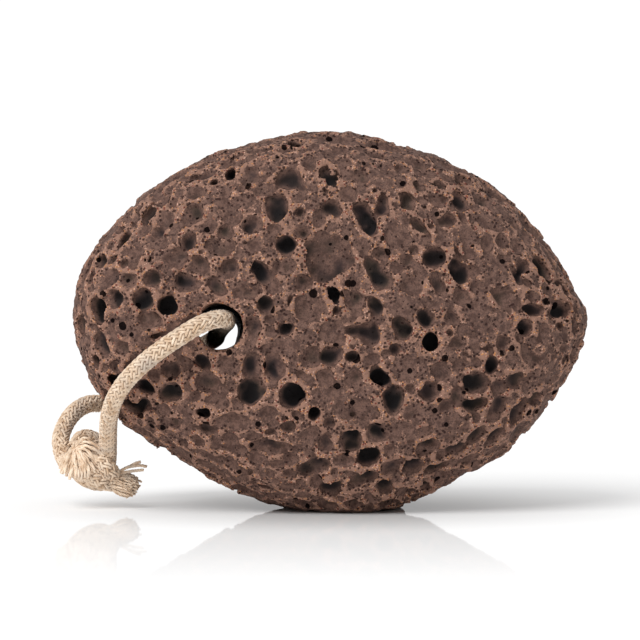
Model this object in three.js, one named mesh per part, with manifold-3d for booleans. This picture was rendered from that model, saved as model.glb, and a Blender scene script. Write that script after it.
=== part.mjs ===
// A drilled lava foot stone on a braided cotton cord, tied in one knot.
//
// Frame, in millimetres: X along the stone, Y through its thickness, Z up.
// The origin is the middle of the stone's footprint, and the stone stands on
// a small flat that is worn on its long edge.

import * as THREE from 'three';
import { ImprovedNoise } from 'three/addons/math/ImprovedNoise.js';
import { mergeVertices } from 'three/addons/utils/BufferGeometryUtils.js';
import Module from 'manifold-3d';

// ---------------------------------------------------------------- dimensions

const STONE_LENGTH = 95;
const STONE_THICKNESS = 45;
const STONE_HEIGHT = 69.6;
const FOOT_CUT = 1.2; // how much of the rounded edge is worn off into the foot
const FRONT_POWER = 3.1; // 2 is an ellipse, more is flatter with a tighter rim
const BACK_POWER = 2.6;
const STONE_DETAIL = 12;

const BORE = {
  x: -20.6,
  z: 32.85,
  radius: 4.2,
  tilt: THREE.MathUtils.degToRad(-4.6),
  turn: THREE.MathUtils.degToRad(2.4),
};

const CORD_RADIUS = 1.7;
const TOUCH_GAP = 0.3;
const CORD_SIDES = 8;
const CORD_STEPS = 40;

// The broad face's outline, as shares of half the length and of the height.
const OUTLINE = [
  [1.0, 0.507], [0.912, 0.627], [0.822, 0.722], [0.7, 0.816], [0.56, 0.885], [0.3, 0.958],
  [-0.04, 1.0], [-0.42, 0.945], [-0.66, 0.865], [-0.845, 0.753], [-0.97, 0.619],
  [-1.0, 0.5], [-0.91, 0.318], [-0.79, 0.223], [-0.535, 0.11], [-0.274, 0.025],
  [0.0, -0.014], [0.22, -0.004], [0.34, 0.026], [0.457, 0.066], [0.705, 0.166],
  [0.89, 0.318], [0.975, 0.43],
];

// The widest vesicles of the front face: x, z and radius.
const FRONT_VESICLES = [
  [-1.5, 45.6, 4.0], [-7.2, 60.7, 2.8], [-25.4, 53.9, 2.4], [-29.6, 46.0, 2.6],
  [-32.8, 35.2, 2.6], [-4.0, 36.8, 3.0], [-22.8, 22.6, 2.7], [-12.2, 25.4, 2.8],
  [6.4, 32.0, 2.9], [13.6, 32.2, 2.4], [8.4, 24.5, 2.2], [5.7, 17.8, 3.2],
  [19.3, 46.2, 2.3], [29.1, 19.0, 3.0], [37.5, 35.7, 2.5], [18.6, 10.6, 2.8],
];
const REST_VESICLES = 44; // tried all round, kept on the back and on the rims
const REST_VESICLE_RADIUS = { small: 1.9, large: 3.3 };

// The cord's centreline, from the knot up the front strand, through the bore
// and down the back strand to the knot again.
const CORD_ROUTE = [
  [-41.2, -0.6, 6.4], [-40.9, -1.9, 9.2], [-40.7, -4.8, 11.9], [-40.5, -8.9, 15.0],
  [-40.0, -13.4, 18.2], [-38.8, -17.2, 21.5], [-36.7, -20.0, 24.7], [-33.7, -22.3, 27.8],
  [-30.3, -23.8, 30.6], [-26.9, -24.5, 32.9], [-23.8, -24.3, 34.8], [-21.1, -22.8, 35.8],
  [-19.3, -20.0, 35.9], [-18.7, -15.8, 35.3], [-19.3, -9.0, 34.3], [-20.2, 0.0, 33.0],
  [-21.0, 9.0, 31.5], [-21.3, 14.8, 30.6], [-21.9, 19.2, 29.9], [-23.6, 22.5, 28.8],
  [-26.2, 24.1, 27.4], [-29.2, 24.3, 25.8], [-32.4, 23.1, 23.8], [-35.7, 20.8, 21.4],
  [-39.1, 17.5, 19.3], [-42.3, 14.0, 18.3], [-45.1, 10.9, 18.3], [-47.4, 8.2, 17.1],
  [-49.0, 5.9, 15.0], [-49.8, 4.0, 12.7], [-49.6, 2.5, 10.3], [-48.7, 1.3, 8.3],
];

// The knot's two visible turns: one laid over the front, one humped behind it.
const KNOT_WRAP = [
  [-48.9, 1.0, 8.6], [-47.4, -2.0, 8.4], [-44.4, -3.9, 6.9], [-41.8, -3.2, 4.9], [-40.2, -1.2, 4.0],
];
const KNOT_HUMP = [
  [-41.6, 0.4, 8.2], [-42.2, 2.0, 10.6], [-43.8, 2.2, 12.4], [-45.6, 1.2, 12.7], [-47.0, -0.8, 10.8],
];
const KNOT_CORE = { centre: [-44.2, -0.4, 7.2], radii: [3.9, 3.2, 3.9] };
const KNOT_STEPS = 9;

// A frayed end's solid: radius by distance along it, closed on its axis.
const FRAYED_RIGHT = {
  root: [-40.4, -1.3, 4.0],
  tip: [-34.4, -1.0, 3.1],
  profile: [[0, 0], [1.6, 0.2], [2.0, 1.6], [2.7, 3.4], [2.5, 4.8], [1.3, 5.9], [0, 6.1]],
};
const FRAYED_LEFT = {
  root: [-46.9, -2.6, 10.8],
  tip: [-49.4, -4.6, 5.0],
  profile: [[0, 0], [1.3, 0.2], [1.7, 1.6], [2.2, 3.4], [2.0, 4.8], [1.1, 6.1], [0, 6.4]],
};
const FRAYED_SIDES = 14;

// ----------------------------------------------------------------- materials

const LAVA = { color: 0x5f463c, roughness: 0.92, metalness: 0 };
const COTTON = { color: 0xc9ab88, roughness: 0.95, metalness: 0 };

// ------------------------------------------------------------------ booleans

const wasm = await Module();
wasm.setup();

/** Turns a closed geometry into a manifold-3d solid. */
function solidOf(geometry) {
  const bare = geometry.clone();
  bare.deleteAttribute('normal');
  bare.deleteAttribute('uv');
  const merged = mergeVertices(bare, 1e-4);
  return new wasm.Manifold(new wasm.Mesh({
    numProp: 3,
    vertProperties: new Float32Array(merged.attributes.position.array),
    triVerts: new Uint32Array(merged.index.array),
  }));
}

/** Turns a manifold-3d solid back into a geometry. */
function geometryOf(solid) {
  const mesh = solid.getMesh();
  const geometry = new THREE.BufferGeometry();
  geometry.setAttribute('position', new THREE.BufferAttribute(mesh.vertProperties, 3));
  geometry.setIndex(new THREE.BufferAttribute(mesh.triVerts, 1));
  geometry.computeVertexNormals();
  return geometry;
}

/** One named mesh in its own material. */
function part(name, solid, finish) {
  const mesh = new THREE.Mesh(geometryOf(solid), new THREE.MeshStandardMaterial(finish));
  mesh.name = name;
  return mesh;
}

// --------------------------------------------------------------------- stone

const centreHeight = 0.51 * STONE_HEIGHT;
const outlineCurve = new THREE.CatmullRomCurve3(
  OUTLINE.map(([x, z]) => new THREE.Vector3(
    x * STONE_LENGTH / 2, 0, z * STONE_HEIGHT - centreHeight)),
  true,
  'centripetal',
);
const outlinePolar = outlineCurve.getPoints(360)
  .map((point) => ({ angle: Math.atan2(point.z, point.x), reach: Math.hypot(point.x, point.z) }))
  .sort((a, b) => a.angle - b.angle);

/** The outline's reach from the stone's centre in a direction of its plane. */
function outlineReach(angle) {
  const next = outlinePolar.findIndex((sample) => sample.angle >= angle);
  if (next <= 0) {
    return outlinePolar[0].reach;
  }
  const [low, high] = [outlinePolar[next - 1], outlinePolar[next]];
  const share = (angle - low.angle) / Math.max(high.angle - low.angle, 1e-9);
  return THREE.MathUtils.lerp(low.reach, high.reach, share);
}

/** The smooth stone's surface point in a direction from its centre. */
function stonePoint(direction) {
  const inPlane = Math.hypot(direction.x, direction.z);
  const reach = outlineReach(Math.atan2(direction.z, direction.x));
  const power = direction.y < 0 ? FRONT_POWER : BACK_POWER;
  const size = (inPlane / reach) ** power
    + (Math.abs(direction.y) / (STONE_THICKNESS / 2)) ** power;
  return direction.clone().multiplyScalar(size ** (-1 / power));
}

/** The front face's depth at a place of its outline plane. */
function frontDepth(x, z) {
  const reach = outlineReach(Math.atan2(z - centreHeight, x));
  const share = Math.hypot(x, z - centreHeight) / reach;
  return -(STONE_THICKNESS / 2) * (1 - share ** FRONT_POWER) ** (1 / FRONT_POWER);
}

const LUMPS = [{ size: 15, depth: 0.9 }, { size: 6, depth: 0.55 }];

/** How far the broken surface stands off the smooth one, less so on the rim. */
function lump(noise, point) {
  const faceShare = THREE.MathUtils.clamp(Math.abs(2 * point.y / STONE_THICKNESS), 0.3, 1);
  return faceShare * LUMPS.reduce((sum, { size, depth }) => (
    sum + depth * noise.noise(point.x / size + 7, point.y / size + 3, point.z / size + 11)), 0);
}

/** The stone before it is drilled: a lumpy egg brought to its exact size. */
function stoneBlank() {
  const geometry = new THREE.IcosahedronGeometry(1, STONE_DETAIL);
  const noise = new ImprovedNoise();
  const position = geometry.attributes.position;
  const stretch = new THREE.Vector3(STONE_LENGTH, STONE_THICKNESS, STONE_HEIGHT);
  for (let i = 0; i < position.count; i += 1) {
    const direction = new THREE.Vector3().fromBufferAttribute(position, i)
      .multiply(stretch).normalize();
    const point = stonePoint(direction);
    point.addScaledVector(direction, lump(noise, point));
    position.setXYZ(i, point.x, point.y, point.z);
  }
  geometry.computeBoundingBox();
  const size = geometry.boundingBox.getSize(new THREE.Vector3());
  const middle = geometry.boundingBox.getCenter(new THREE.Vector3());
  geometry.translate(-middle.x, -middle.y, -geometry.boundingBox.min.z);
  geometry.scale(
    STONE_LENGTH / size.x,
    STONE_THICKNESS / size.y,
    (STONE_HEIGHT + FOOT_CUT) / size.z,
  );
  geometry.translate(0, 0, -FOOT_CUT);
  return solidOf(geometry);
}

/** One gas bubble cut open by the surface. */
function vesicle(x, y, z, radius) {
  const geometry = new THREE.SphereGeometry(radius, 8, 6);
  geometry.translate(x, y, z);
  return solidOf(geometry);
}

/** The wide vesicles of the front, and their like on the back and the rims. */
function vesicles() {
  const front = FRONT_VESICLES.map(([x, z, radius]) => vesicle(x, frontDepth(x, z), z, radius));
  const rest = [];
  const goldenAngle = Math.PI * (3 - Math.sqrt(5));
  for (let i = 0; i < REST_VESICLES; i += 1) {
    const depth = 1 - (2 * i + 1) / REST_VESICLES;
    const around = i * goldenAngle;
    const ring = Math.sqrt(1 - depth * depth);
    const direction = new THREE.Vector3(
      STONE_LENGTH * ring * Math.cos(around),
      STONE_THICKNESS * depth,
      STONE_HEIGHT * ring * Math.sin(around),
    ).normalize();
    const point = stonePoint(direction);
    const radius = THREE.MathUtils.lerp(
      REST_VESICLE_RADIUS.small, REST_VESICLE_RADIUS.large, (i * 0.618) % 1);
    const overFoot = point.z + centreHeight < 2 * REST_VESICLE_RADIUS.large;
    const byBore = Math.hypot(point.x - BORE.x, point.z + centreHeight - BORE.z) < 9;
    if (depth > -0.25 && !overFoot && !byBore) {
      rest.push(vesicle(point.x, point.y, point.z + centreHeight, radius));
    }
  }
  return wasm.Manifold.union([...front, ...rest]);
}

/** The bore for the cord, right through the stone. */
function boreCutter() {
  const geometry = new THREE.CylinderGeometry(BORE.radius, BORE.radius, 2 * STONE_THICKNESS, 28);
  geometry.rotateX(BORE.tilt);
  geometry.rotateZ(BORE.turn);
  geometry.translate(BORE.x, 0, BORE.z);
  return solidOf(geometry);
}

/** Everything below the plane that the stone stands on. */
function floorCutter() {
  const geometry = new THREE.BoxGeometry(2 * STONE_LENGTH, 2 * STONE_LENGTH, 20);
  geometry.translate(0, 0, -10);
  return solidOf(geometry);
}

/** The finished stone. */
function makeStone() {
  return stoneBlank().subtract(vesicles()).subtract(boreCutter()).subtract(floorCutter());
}

// ---------------------------------------------------------------------- cord

/** A round tube along hand-placed points. */
function tube(points, radius, steps) {
  const path = new THREE.CatmullRomCurve3(
    points.map((point) => new THREE.Vector3(...point)), false, 'centripetal');
  const section = new THREE.Shape();
  for (let i = 0; i < CORD_SIDES; i += 1) {
    const angle = 2 * Math.PI * i / CORD_SIDES;
    const [x, y] = [radius * Math.cos(angle), radius * Math.sin(angle)];
    if (i === 0) {
      section.moveTo(x, y);
    } else {
      section.lineTo(x, y);
    }
  }
  section.closePath();
  return solidOf(new THREE.ExtrudeGeometry(
    section, { steps, extrudePath: path, bevelEnabled: false }));
}

/** The knot, or the room around it that its neighbours leave free. */
function knot(allowance) {
  const core = new THREE.SphereGeometry(1, 14, 9);
  core.scale(...KNOT_CORE.radii.map((radius) => radius + allowance));
  core.translate(...KNOT_CORE.centre);
  return wasm.Manifold.union([
    solidOf(core),
    tube(KNOT_WRAP, CORD_RADIUS + allowance, KNOT_STEPS),
    tube(KNOT_HUMP, CORD_RADIUS + allowance, KNOT_STEPS),
  ]);
}

/** One frayed end, a lathe turned to point from its root to its tip. */
function frayedEnd({ root, tip, profile }) {
  const geometry = new THREE.LatheGeometry(
    profile.map(([radius, along]) => new THREE.Vector2(radius, along)), FRAYED_SIDES);
  const way = new THREE.Vector3(...tip).sub(new THREE.Vector3(...root)).normalize();
  geometry.applyQuaternion(new THREE.Quaternion().setFromUnitVectors(
    new THREE.Vector3(0, 1, 0), way));
  geometry.translate(...root);
  return solidOf(geometry);
}

// ------------------------------------------------------------------ assembly

const knotRoom = knot(TOUCH_GAP);
const group = new THREE.Group();
group.add(
  part('pumice_stone', makeStone(), LAVA),
  part('cord', tube(CORD_ROUTE, CORD_RADIUS, CORD_STEPS).subtract(knotRoom), COTTON),
  part('cord_knot', knot(0), COTTON),
  part('frayed_end_left', frayedEnd(FRAYED_LEFT).subtract(knotRoom), COTTON),
  part('frayed_end_right', frayedEnd(FRAYED_RIGHT).subtract(knotRoom), COTTON),
);

export default group;
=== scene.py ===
"""A drilled lava foot stone on a braided cotton cord, dressed for a studio view.

The stone is carved out of a block of voxels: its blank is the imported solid,
and gas bubbles of every size are taken out of it. The cord is braided from
yarns along its own route, tied in one knot, and its two ends are frayed.
Lengths are in millimetres inside the classes and in metres in every mesh.
"""

from __future__ import annotations

import logging
import math
from dataclasses import dataclass, field
from enum import Enum

import bmesh
import bpy
import numpy as np
import openvdb
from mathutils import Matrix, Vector


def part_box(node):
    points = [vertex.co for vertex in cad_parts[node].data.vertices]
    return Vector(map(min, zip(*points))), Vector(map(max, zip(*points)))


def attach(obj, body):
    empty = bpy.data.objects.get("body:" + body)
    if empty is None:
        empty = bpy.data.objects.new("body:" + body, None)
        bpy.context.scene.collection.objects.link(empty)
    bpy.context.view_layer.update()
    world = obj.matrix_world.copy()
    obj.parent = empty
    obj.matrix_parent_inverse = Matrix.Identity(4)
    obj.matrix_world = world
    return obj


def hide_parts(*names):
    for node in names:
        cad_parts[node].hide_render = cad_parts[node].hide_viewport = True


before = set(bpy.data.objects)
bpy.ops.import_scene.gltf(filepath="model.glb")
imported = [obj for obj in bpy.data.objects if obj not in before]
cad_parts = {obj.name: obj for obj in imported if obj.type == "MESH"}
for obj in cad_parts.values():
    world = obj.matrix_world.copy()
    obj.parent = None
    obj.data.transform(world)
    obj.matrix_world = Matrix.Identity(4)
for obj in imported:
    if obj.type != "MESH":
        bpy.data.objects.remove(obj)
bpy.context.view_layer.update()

MM = 0.001
GOLDEN_ANGLE = 2.39996
LOG = logging.getLogger("pumice_stone")
Triple = tuple[float, float, float]
Pair = tuple[float, float]
Tint = tuple[int, int, int]


# ------------------------------------------------------------------- camera


@dataclass(frozen=True)
class StudioCamera:
    """The camera: a long lens, nearly level with the stone.

    Lengths are in millimetres.

    Attributes:
        distance: From the lens to the place that it looks at.
        elevation: How far it is above level, in degrees.
        aim: The place that it looks at.
        view_width: The width of the view there.
        sensor: The sensor's width.
        near: The nearest distance that it sees.
        far: The farthest distance that it sees.
    """

    distance: float = 900.0
    elevation: float = 3.0
    aim: Triple = (-1.84, 0.0, 34.6)
    view_width: float = 117.8
    sensor: float = 36.0
    near: float = 50.0
    far: float = 10000.0

    @property
    def position(self) -> np.ndarray:
        """Works out the lens's place.

        Returns:
            The place, in millimetres.
        """
        angle = math.radians(self.elevation)
        back = np.array([0.0, -math.cos(angle), math.sin(angle)])
        return np.array(self.aim) + self.distance * back

    def build(self) -> bpy.types.Object:
        """Makes the camera and gives it to the scene.

        Returns:
            The camera object.
        """
        data = bpy.data.cameras.new("studio_camera")
        camera = bpy.data.objects.new("studio_camera", data)
        bpy.context.scene.collection.objects.link(camera)
        camera.location = Vector(self.position) * MM
        toward = Vector(self.aim) * MM - camera.location
        camera.rotation_euler = toward.to_track_quat("-Z", "Y").to_euler()
        data.sensor_width = self.sensor
        data.lens = self.sensor * self.distance / self.view_width
        data.clip_start = self.near * MM
        data.clip_end = self.far * MM
        bpy.context.scene.camera = camera
        return camera


# -------------------------------------------------------------------- voxels


@dataclass(frozen=True)
class VoxelBlock:
    """A block of evenly spaced samples.

    Attributes:
        low: The first sample's place, in millimetres.
        step: The distance between samples, in millimetres.
        shape: The number of samples along each axis.
    """

    low: np.ndarray
    step: float
    shape: tuple[int, int, int]

    @classmethod
    def around(cls, low: np.ndarray, high: np.ndarray, margin: float, step: float) -> "VoxelBlock":
        """Makes the block that holds a box with a margin round it.

        Args:
            low: The box's lowest corner.
            high: The box's highest corner.
            margin: The room left on every side.
            step: The distance between samples.

        Returns:
            The block.
        """
        start = np.floor((low - margin) / step) * step
        count = np.ceil((high + margin - start) / step).astype(int) + 1
        return cls(start, step, tuple(int(n) for n in count))

    def axis(self, number: int) -> np.ndarray:
        """The sample places along one axis."""
        places = self.low[number] + self.step * np.arange(self.shape[number])
        return places.astype(np.float32)

    def window(self, centre: np.ndarray, reach: np.ndarray) -> tuple[slice, slice, slice]:
        """Finds the samples near a point.

        Args:
            centre: The point.
            reach: How far along each axis they may lie from it.

        Returns:
            One slice for each axis.
        """
        first = np.floor((centre - reach - self.low) / self.step).astype(int)
        last = np.ceil((centre + reach - self.low) / self.step).astype(int) + 1
        return tuple(
            slice(max(start, 0), max(min(end, size), 0))
            for start, end, size in zip(first, last, self.shape)
        )

    def sample(self, values: np.ndarray, points: np.ndarray) -> np.ndarray:
        """Reads a field between its samples.

        Args:
            values: The field, one value for each sample.
            points: Places in millimetres, one in each row.

        Returns:
            The trilinear value at each place.
        """
        place = (points - self.low) / self.step
        limit = np.array(self.shape) - 2
        base = np.clip(np.floor(place).astype(int), 0, limit)
        share = np.clip(place - base, 0.0, 1.0)
        total = np.zeros(len(points))
        for corner in np.ndindex(2, 2, 2):
            weight = np.prod(np.where(corner, share, 1.0 - share), axis=1)
            i, j, k = (base + corner).T
            total += weight * values[i, j, k]
        return total


def stretch(values: np.ndarray, places: np.ndarray, axis: int, smooth: bool) -> np.ndarray:
    """Resamples a field along one axis.

    Args:
        values: The field.
        places: Where to read it, in samples from its start.
        axis: The axis to resample.
        smooth: Whether to ease between samples, as value noise does.

    Returns:
        The field with one sample for each place along that axis.
    """
    base = np.clip(np.floor(places).astype(int), 0, values.shape[axis] - 2)
    share = (places - base).astype(np.float32)
    if smooth:
        share = share * share * (3.0 - 2.0 * share)
    form = [1, 1, 1]
    form[axis] = -1
    share = share.reshape(form)
    low = np.take(values, base, axis)
    return low + (np.take(values, base + 1, axis) - low) * share


def resample(values: np.ndarray, source: VoxelBlock, block: VoxelBlock) -> np.ndarray:
    """Reads a coarse field at every sample of a finer block.

    Args:
        values: The coarse field.
        source: The block that it fills.
        block: The finer block.

    Returns:
        The field over the finer block.
    """
    for axis in range(3):
        places = (block.axis(axis) - source.low[axis]) / source.step
        values = stretch(values, places, axis, smooth=False)
    return values


def cloud(block: VoxelBlock, pitch: float, rng: np.random.Generator) -> np.ndarray:
    """Fills a block with value noise.

    Args:
        block: The block to fill.
        pitch: The noise's grain, in millimetres.
        rng: The source of its values.

    Returns:
        A field from -1 to 1.
    """
    size = [int(n * block.step / pitch) + 3 for n in block.shape]
    values = rng.uniform(-1.0, 1.0, size).astype(np.float32)
    for axis in range(3):
        places = np.arange(block.shape[axis]) * block.step / pitch
        values = stretch(values, places, axis, smooth=True)
    return values


# --------------------------------------------------------------------- stone


class Kind(Enum):
    """How far a vesicle goes down, as the centre's sink and the depth."""

    BASIN = (0.0, 0.34)
    BOWL = (0.0, 0.62)
    POCKET = (0.18, 0.95)
    HOLE = (0.45, 1.6)


@dataclass(frozen=True)
class Vesicle:
    """One gas bubble: an ellipsoid with its own axes.

    Attributes:
        centre: Its middle, in millimetres.
        radii: Its half axes.
        axes: Its axes' directions, one in each row.
    """

    centre: np.ndarray
    radii: np.ndarray
    axes: np.ndarray

    def distance(self, block: VoxelBlock, window: tuple[slice, slice, slice]) -> np.ndarray:
        """Works out the rough distance to its wall.

        Args:
            block: The block of samples.
            window: The samples wanted, one slice for each axis.

        Returns:
            The distance at each of them, negative inside.
        """
        offsets = [block.axis(i)[window[i]] - np.float32(self.centre[i]) for i in range(3)]
        x = offsets[0][:, None, None]
        y = offsets[1][None, :, None]
        z = offsets[2][None, None, :]
        square = np.float32(0.0)
        steep = np.float32(0.0)
        for row, radius in zip(self.axes, self.radii):
            along = x * np.float32(row[0]) + y * np.float32(row[1]) + z * np.float32(row[2])
            along = along / np.float32(radius)
            square = square + along * along
            steep = steep + (along / np.float32(radius)) ** 2
        size = np.sqrt(square)
        return size * (size - 1.0) / np.sqrt(steep + 1e-6)

    def carve(self, field: np.ndarray, block: VoxelBlock, warp: np.ndarray, slack: float) -> None:
        """Lowers a foam field to this bubble's distance where it is nearer.

        Args:
            field: The foam's distance field, changed in place.
            block: The block that it fills.
            warp: Noise that makes the wall uneven, in millimetres.
            slack: The room beyond the wall that is worked out too.
        """
        reach = np.abs(self.axes * self.radii[:, None]).sum(axis=0) + slack
        window = block.window(self.centre, reach)
        part = field[window]
        if part.size:
            np.minimum(part, self.distance(block, window) + warp[window], out=part)


def turned_axes(long_way: np.ndarray, inward: np.ndarray) -> np.ndarray:
    """Works out the axes of a bubble that lies along a surface.

    Args:
        long_way: The direction of its long axis.
        inward: The direction of its depth.

    Returns:
        Three unit rows: long, short and deep.
    """
    deep = inward / np.linalg.norm(inward)
    long_axis = long_way - deep * float(long_way @ deep)
    long_axis = long_axis / max(float(np.linalg.norm(long_axis)), 1e-6)
    return np.array([long_axis, np.cross(deep, long_axis), deep])


# Each row is a vesicle of the front face, as x, z, half length, half width,
# turn in degrees from level, anticlockwise, drawn on the outline's plane.
BASINS = (
    (-0.5, 46.3, 4.8, 4.7, 0), (5.4, 18.2, 4.6, 2.3, 5), (-3.6, 36.9, 3.5, 2.8, -10),
    (12.0, 14.0, 3.4, 2.0, 10), (-20.0, 8.2, 5.2, 1.9, -14), (29.5, 53.2, 3.0, 1.9, 0),
    (-42.0, 42.3, 2.8, 2.4, 0), (-25.2, 38.6, 2.7, 2.3, 0), (-15.8, 62.0, 2.7, 2.4, 0),
    (-9.0, 28.8, 3.2, 2.5, 0), (0.6, 32.4, 2.6, 2.3, 0), (13.8, 26.2, 2.3, 2.0, 0),
    (12.4, 50.0, 2.6, 2.0, -60), (11.6, 61.3, 2.0, 1.2, 0), (22.3, 15.6, 2.3, 2.0, 0),
    (31.8, 44.0, 2.2, 2.1, 0), (28.0, 36.7, 2.1, 1.5, 0), (42.0, 44.0, 2.4, 1.7, -70),
    (15.6, 17.4, 2.5, 2.3, 40), (36.9, 22.8, 2.1, 1.6, 80), (-12.0, 59.5, 2.4, 1.6, 0),
    (17.8, 62.0, 2.4, 1.1, -15), (25.5, 50.5, 1.9, 1.5, -45), (35.0, 48.3, 1.9, 1.6, -60),
)
BOWLS = (
    (-24.8, 58.4, 2.0, 1.7, 0), (-29.3, 59.2, 1.7, 1.3, 30), (-22.8, 63.6, 1.4, 1.1, 20),
    (-25.4, 54.1, 2.3, 2.2, 0), (-30.4, 53.4, 1.9, 1.8, 90), (-34.6, 51.2, 1.6, 1.2, 0),
    (-40.3, 48.6, 1.6, 1.3, 0), (-35.6, 47.4, 2.0, 1.9, 0), (-28.8, 46.4, 3.1, 1.9, 5),
    (-22.3, 52.4, 2.3, 1.7, 80), (-20.0, 56.2, 1.6, 1.5, 0), (-16.4, 56.6, 2.6, 1.6, -15),
    (-18.0, 53.8, 2.2, 1.8, 0), (-14.6, 52.4, 2.1, 1.9, 0), (-20.4, 48.2, 2.8, 2.1, 0),
    (-24.3, 44.7, 2.4, 1.8, 0), (-18.9, 43.7, 2.3, 2.2, 0), (-29.7, 42.0, 1.5, 1.0, 90),
    (-37.4, 42.0, 2.0, 1.8, 0), (-15.3, 40.4, 2.6, 2.0, 0), (-11.3, 62.4, 2.1, 1.7, 80),
    (-8.0, 44.2, 2.2, 1.8, 0), (4.5, 37.5, 2.2, 1.8, 90), (5.9, 61.3, 1.7, 1.6, 0),
    (2.8, 63.8, 1.5, 0.9, -15), (11.0, 38.4, 1.9, 1.3, 70), (15.0, 40.8, 2.4, 2.0, -50),
    (20.0, 57.0, 2.0, 1.6, 0), (17.0, 56.4, 1.2, 1.0, 0), (28.6, 57.0, 2.5, 1.6, 0),
    (30.9, 51.9, 1.6, 1.1, 20), (27.6, 40.7, 1.6, 1.5, 0), (24.2, 38.6, 2.5, 1.7, -70),
    (39.5, 31.9, 2.0, 1.7, 90), (38.8, 47.7, 1.4, 1.2, 0), (-38.5, 29.3, 1.8, 1.5, 0),
    (-27.2, 17.4, 1.6, 1.2, 0), (-31.0, 17.7, 1.5, 1.2, 0), (-22.8, 23.0, 2.4, 1.9, 0),
    (-21.0, 19.4, 2.5, 1.4, -5), (-18.2, 26.0, 1.9, 1.8, 0), (-26.8, 26.5, 1.6, 1.4, 0),
    (-18.2, 15.3, 3.4, 1.9, 0), (-11.6, 17.4, 1.9, 1.6, 0), (-25.4, 12.6, 2.6, 1.2, -8),
    (-3.5, 27.8, 2.1, 2.1, 0), (4.2, 24.3, 1.9, 1.9, 0), (-1.0, 23.7, 1.9, 1.8, 0),
    (-3.6, 13.0, 2.4, 2.1, 0), (20.6, 25.2, 2.3, 2.0, 0), (21.5, 18.2, 1.6, 1.4, 0),
    (-7.0, 8.7, 1.5, 1.2, 0), (-7.4, 6.1, 1.2, 0.8, 0), (17.4, 13.8, 1.9, 1.0, 30),
    (18.4, 11.0, 2.5, 2.0, 20), (12.2, 7.6, 2.5, 1.9, 20), (-7.0, 3.4, 2.8, 0.9, 0),
    (26.5, 30.2, 2.6, 1.1, 85), (31.5, 21.8, 1.8, 1.7, 0), (24.8, 13.8, 1.8, 1.2, 70),
    (40.7, 28.9, 1.0, 0.8, 0), (42.4, 31.2, 1.7, 1.3, 30), (34.0, 26.4, 1.1, 1.0, 0),
    (41.5, 23.6, 1.5, 1.1, 20), (42.4, 27.0, 1.4, 1.2, 0), (18.0, 37.8, 1.6, 1.3, -40),
    (-33.7, 34.6, 3.0, 1.9, 0), (-45.6, 38.2, 1.6, 1.3, 80), (-5.4, 66.3, 1.4, 1.2, 0),
    (1.6, 41.5, 1.5, 1.0, 0), (7.4, 26.6, 1.9, 1.6, 0), (-13.9, 48.2, 2.0, 1.6, 60),
    (-9.9, 51.3, 1.4, 1.3, 0), (0.8, 51.7, 1.5, 1.2, 0), (32.6, 39.2, 1.5, 1.1, -60),
    (-32.4, 57.4, 1.4, 1.0, 40), (-37.6, 53.6, 1.3, 0.9, 45), (-9.8, 40.6, 1.9, 1.4, 0),
    (-36.0, 31.4, 1.7, 1.1, 0), (-33.9, 27.6, 1.6, 1.2, 20), (-2.6, 20.9, 1.4, 1.1, 0),
    (0.9, 19.8, 1.2, 0.9, 0), (-13.6, 12.9, 1.6, 1.0, -20), (2.5, 8.4, 1.9, 1.4, 10),
    (3.6, 5.9, 1.4, 0.9, 0), (24.2, 26.2, 1.5, 1.2, 0), (28.7, 33.4, 1.4, 1.2, 0),
    (24.6, 33.0, 1.4, 1.2, 0), (37.8, 27.0, 1.2, 0.9, 0), (-33.6, 16.0, 1.4, 0.9, -35),
)
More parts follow.
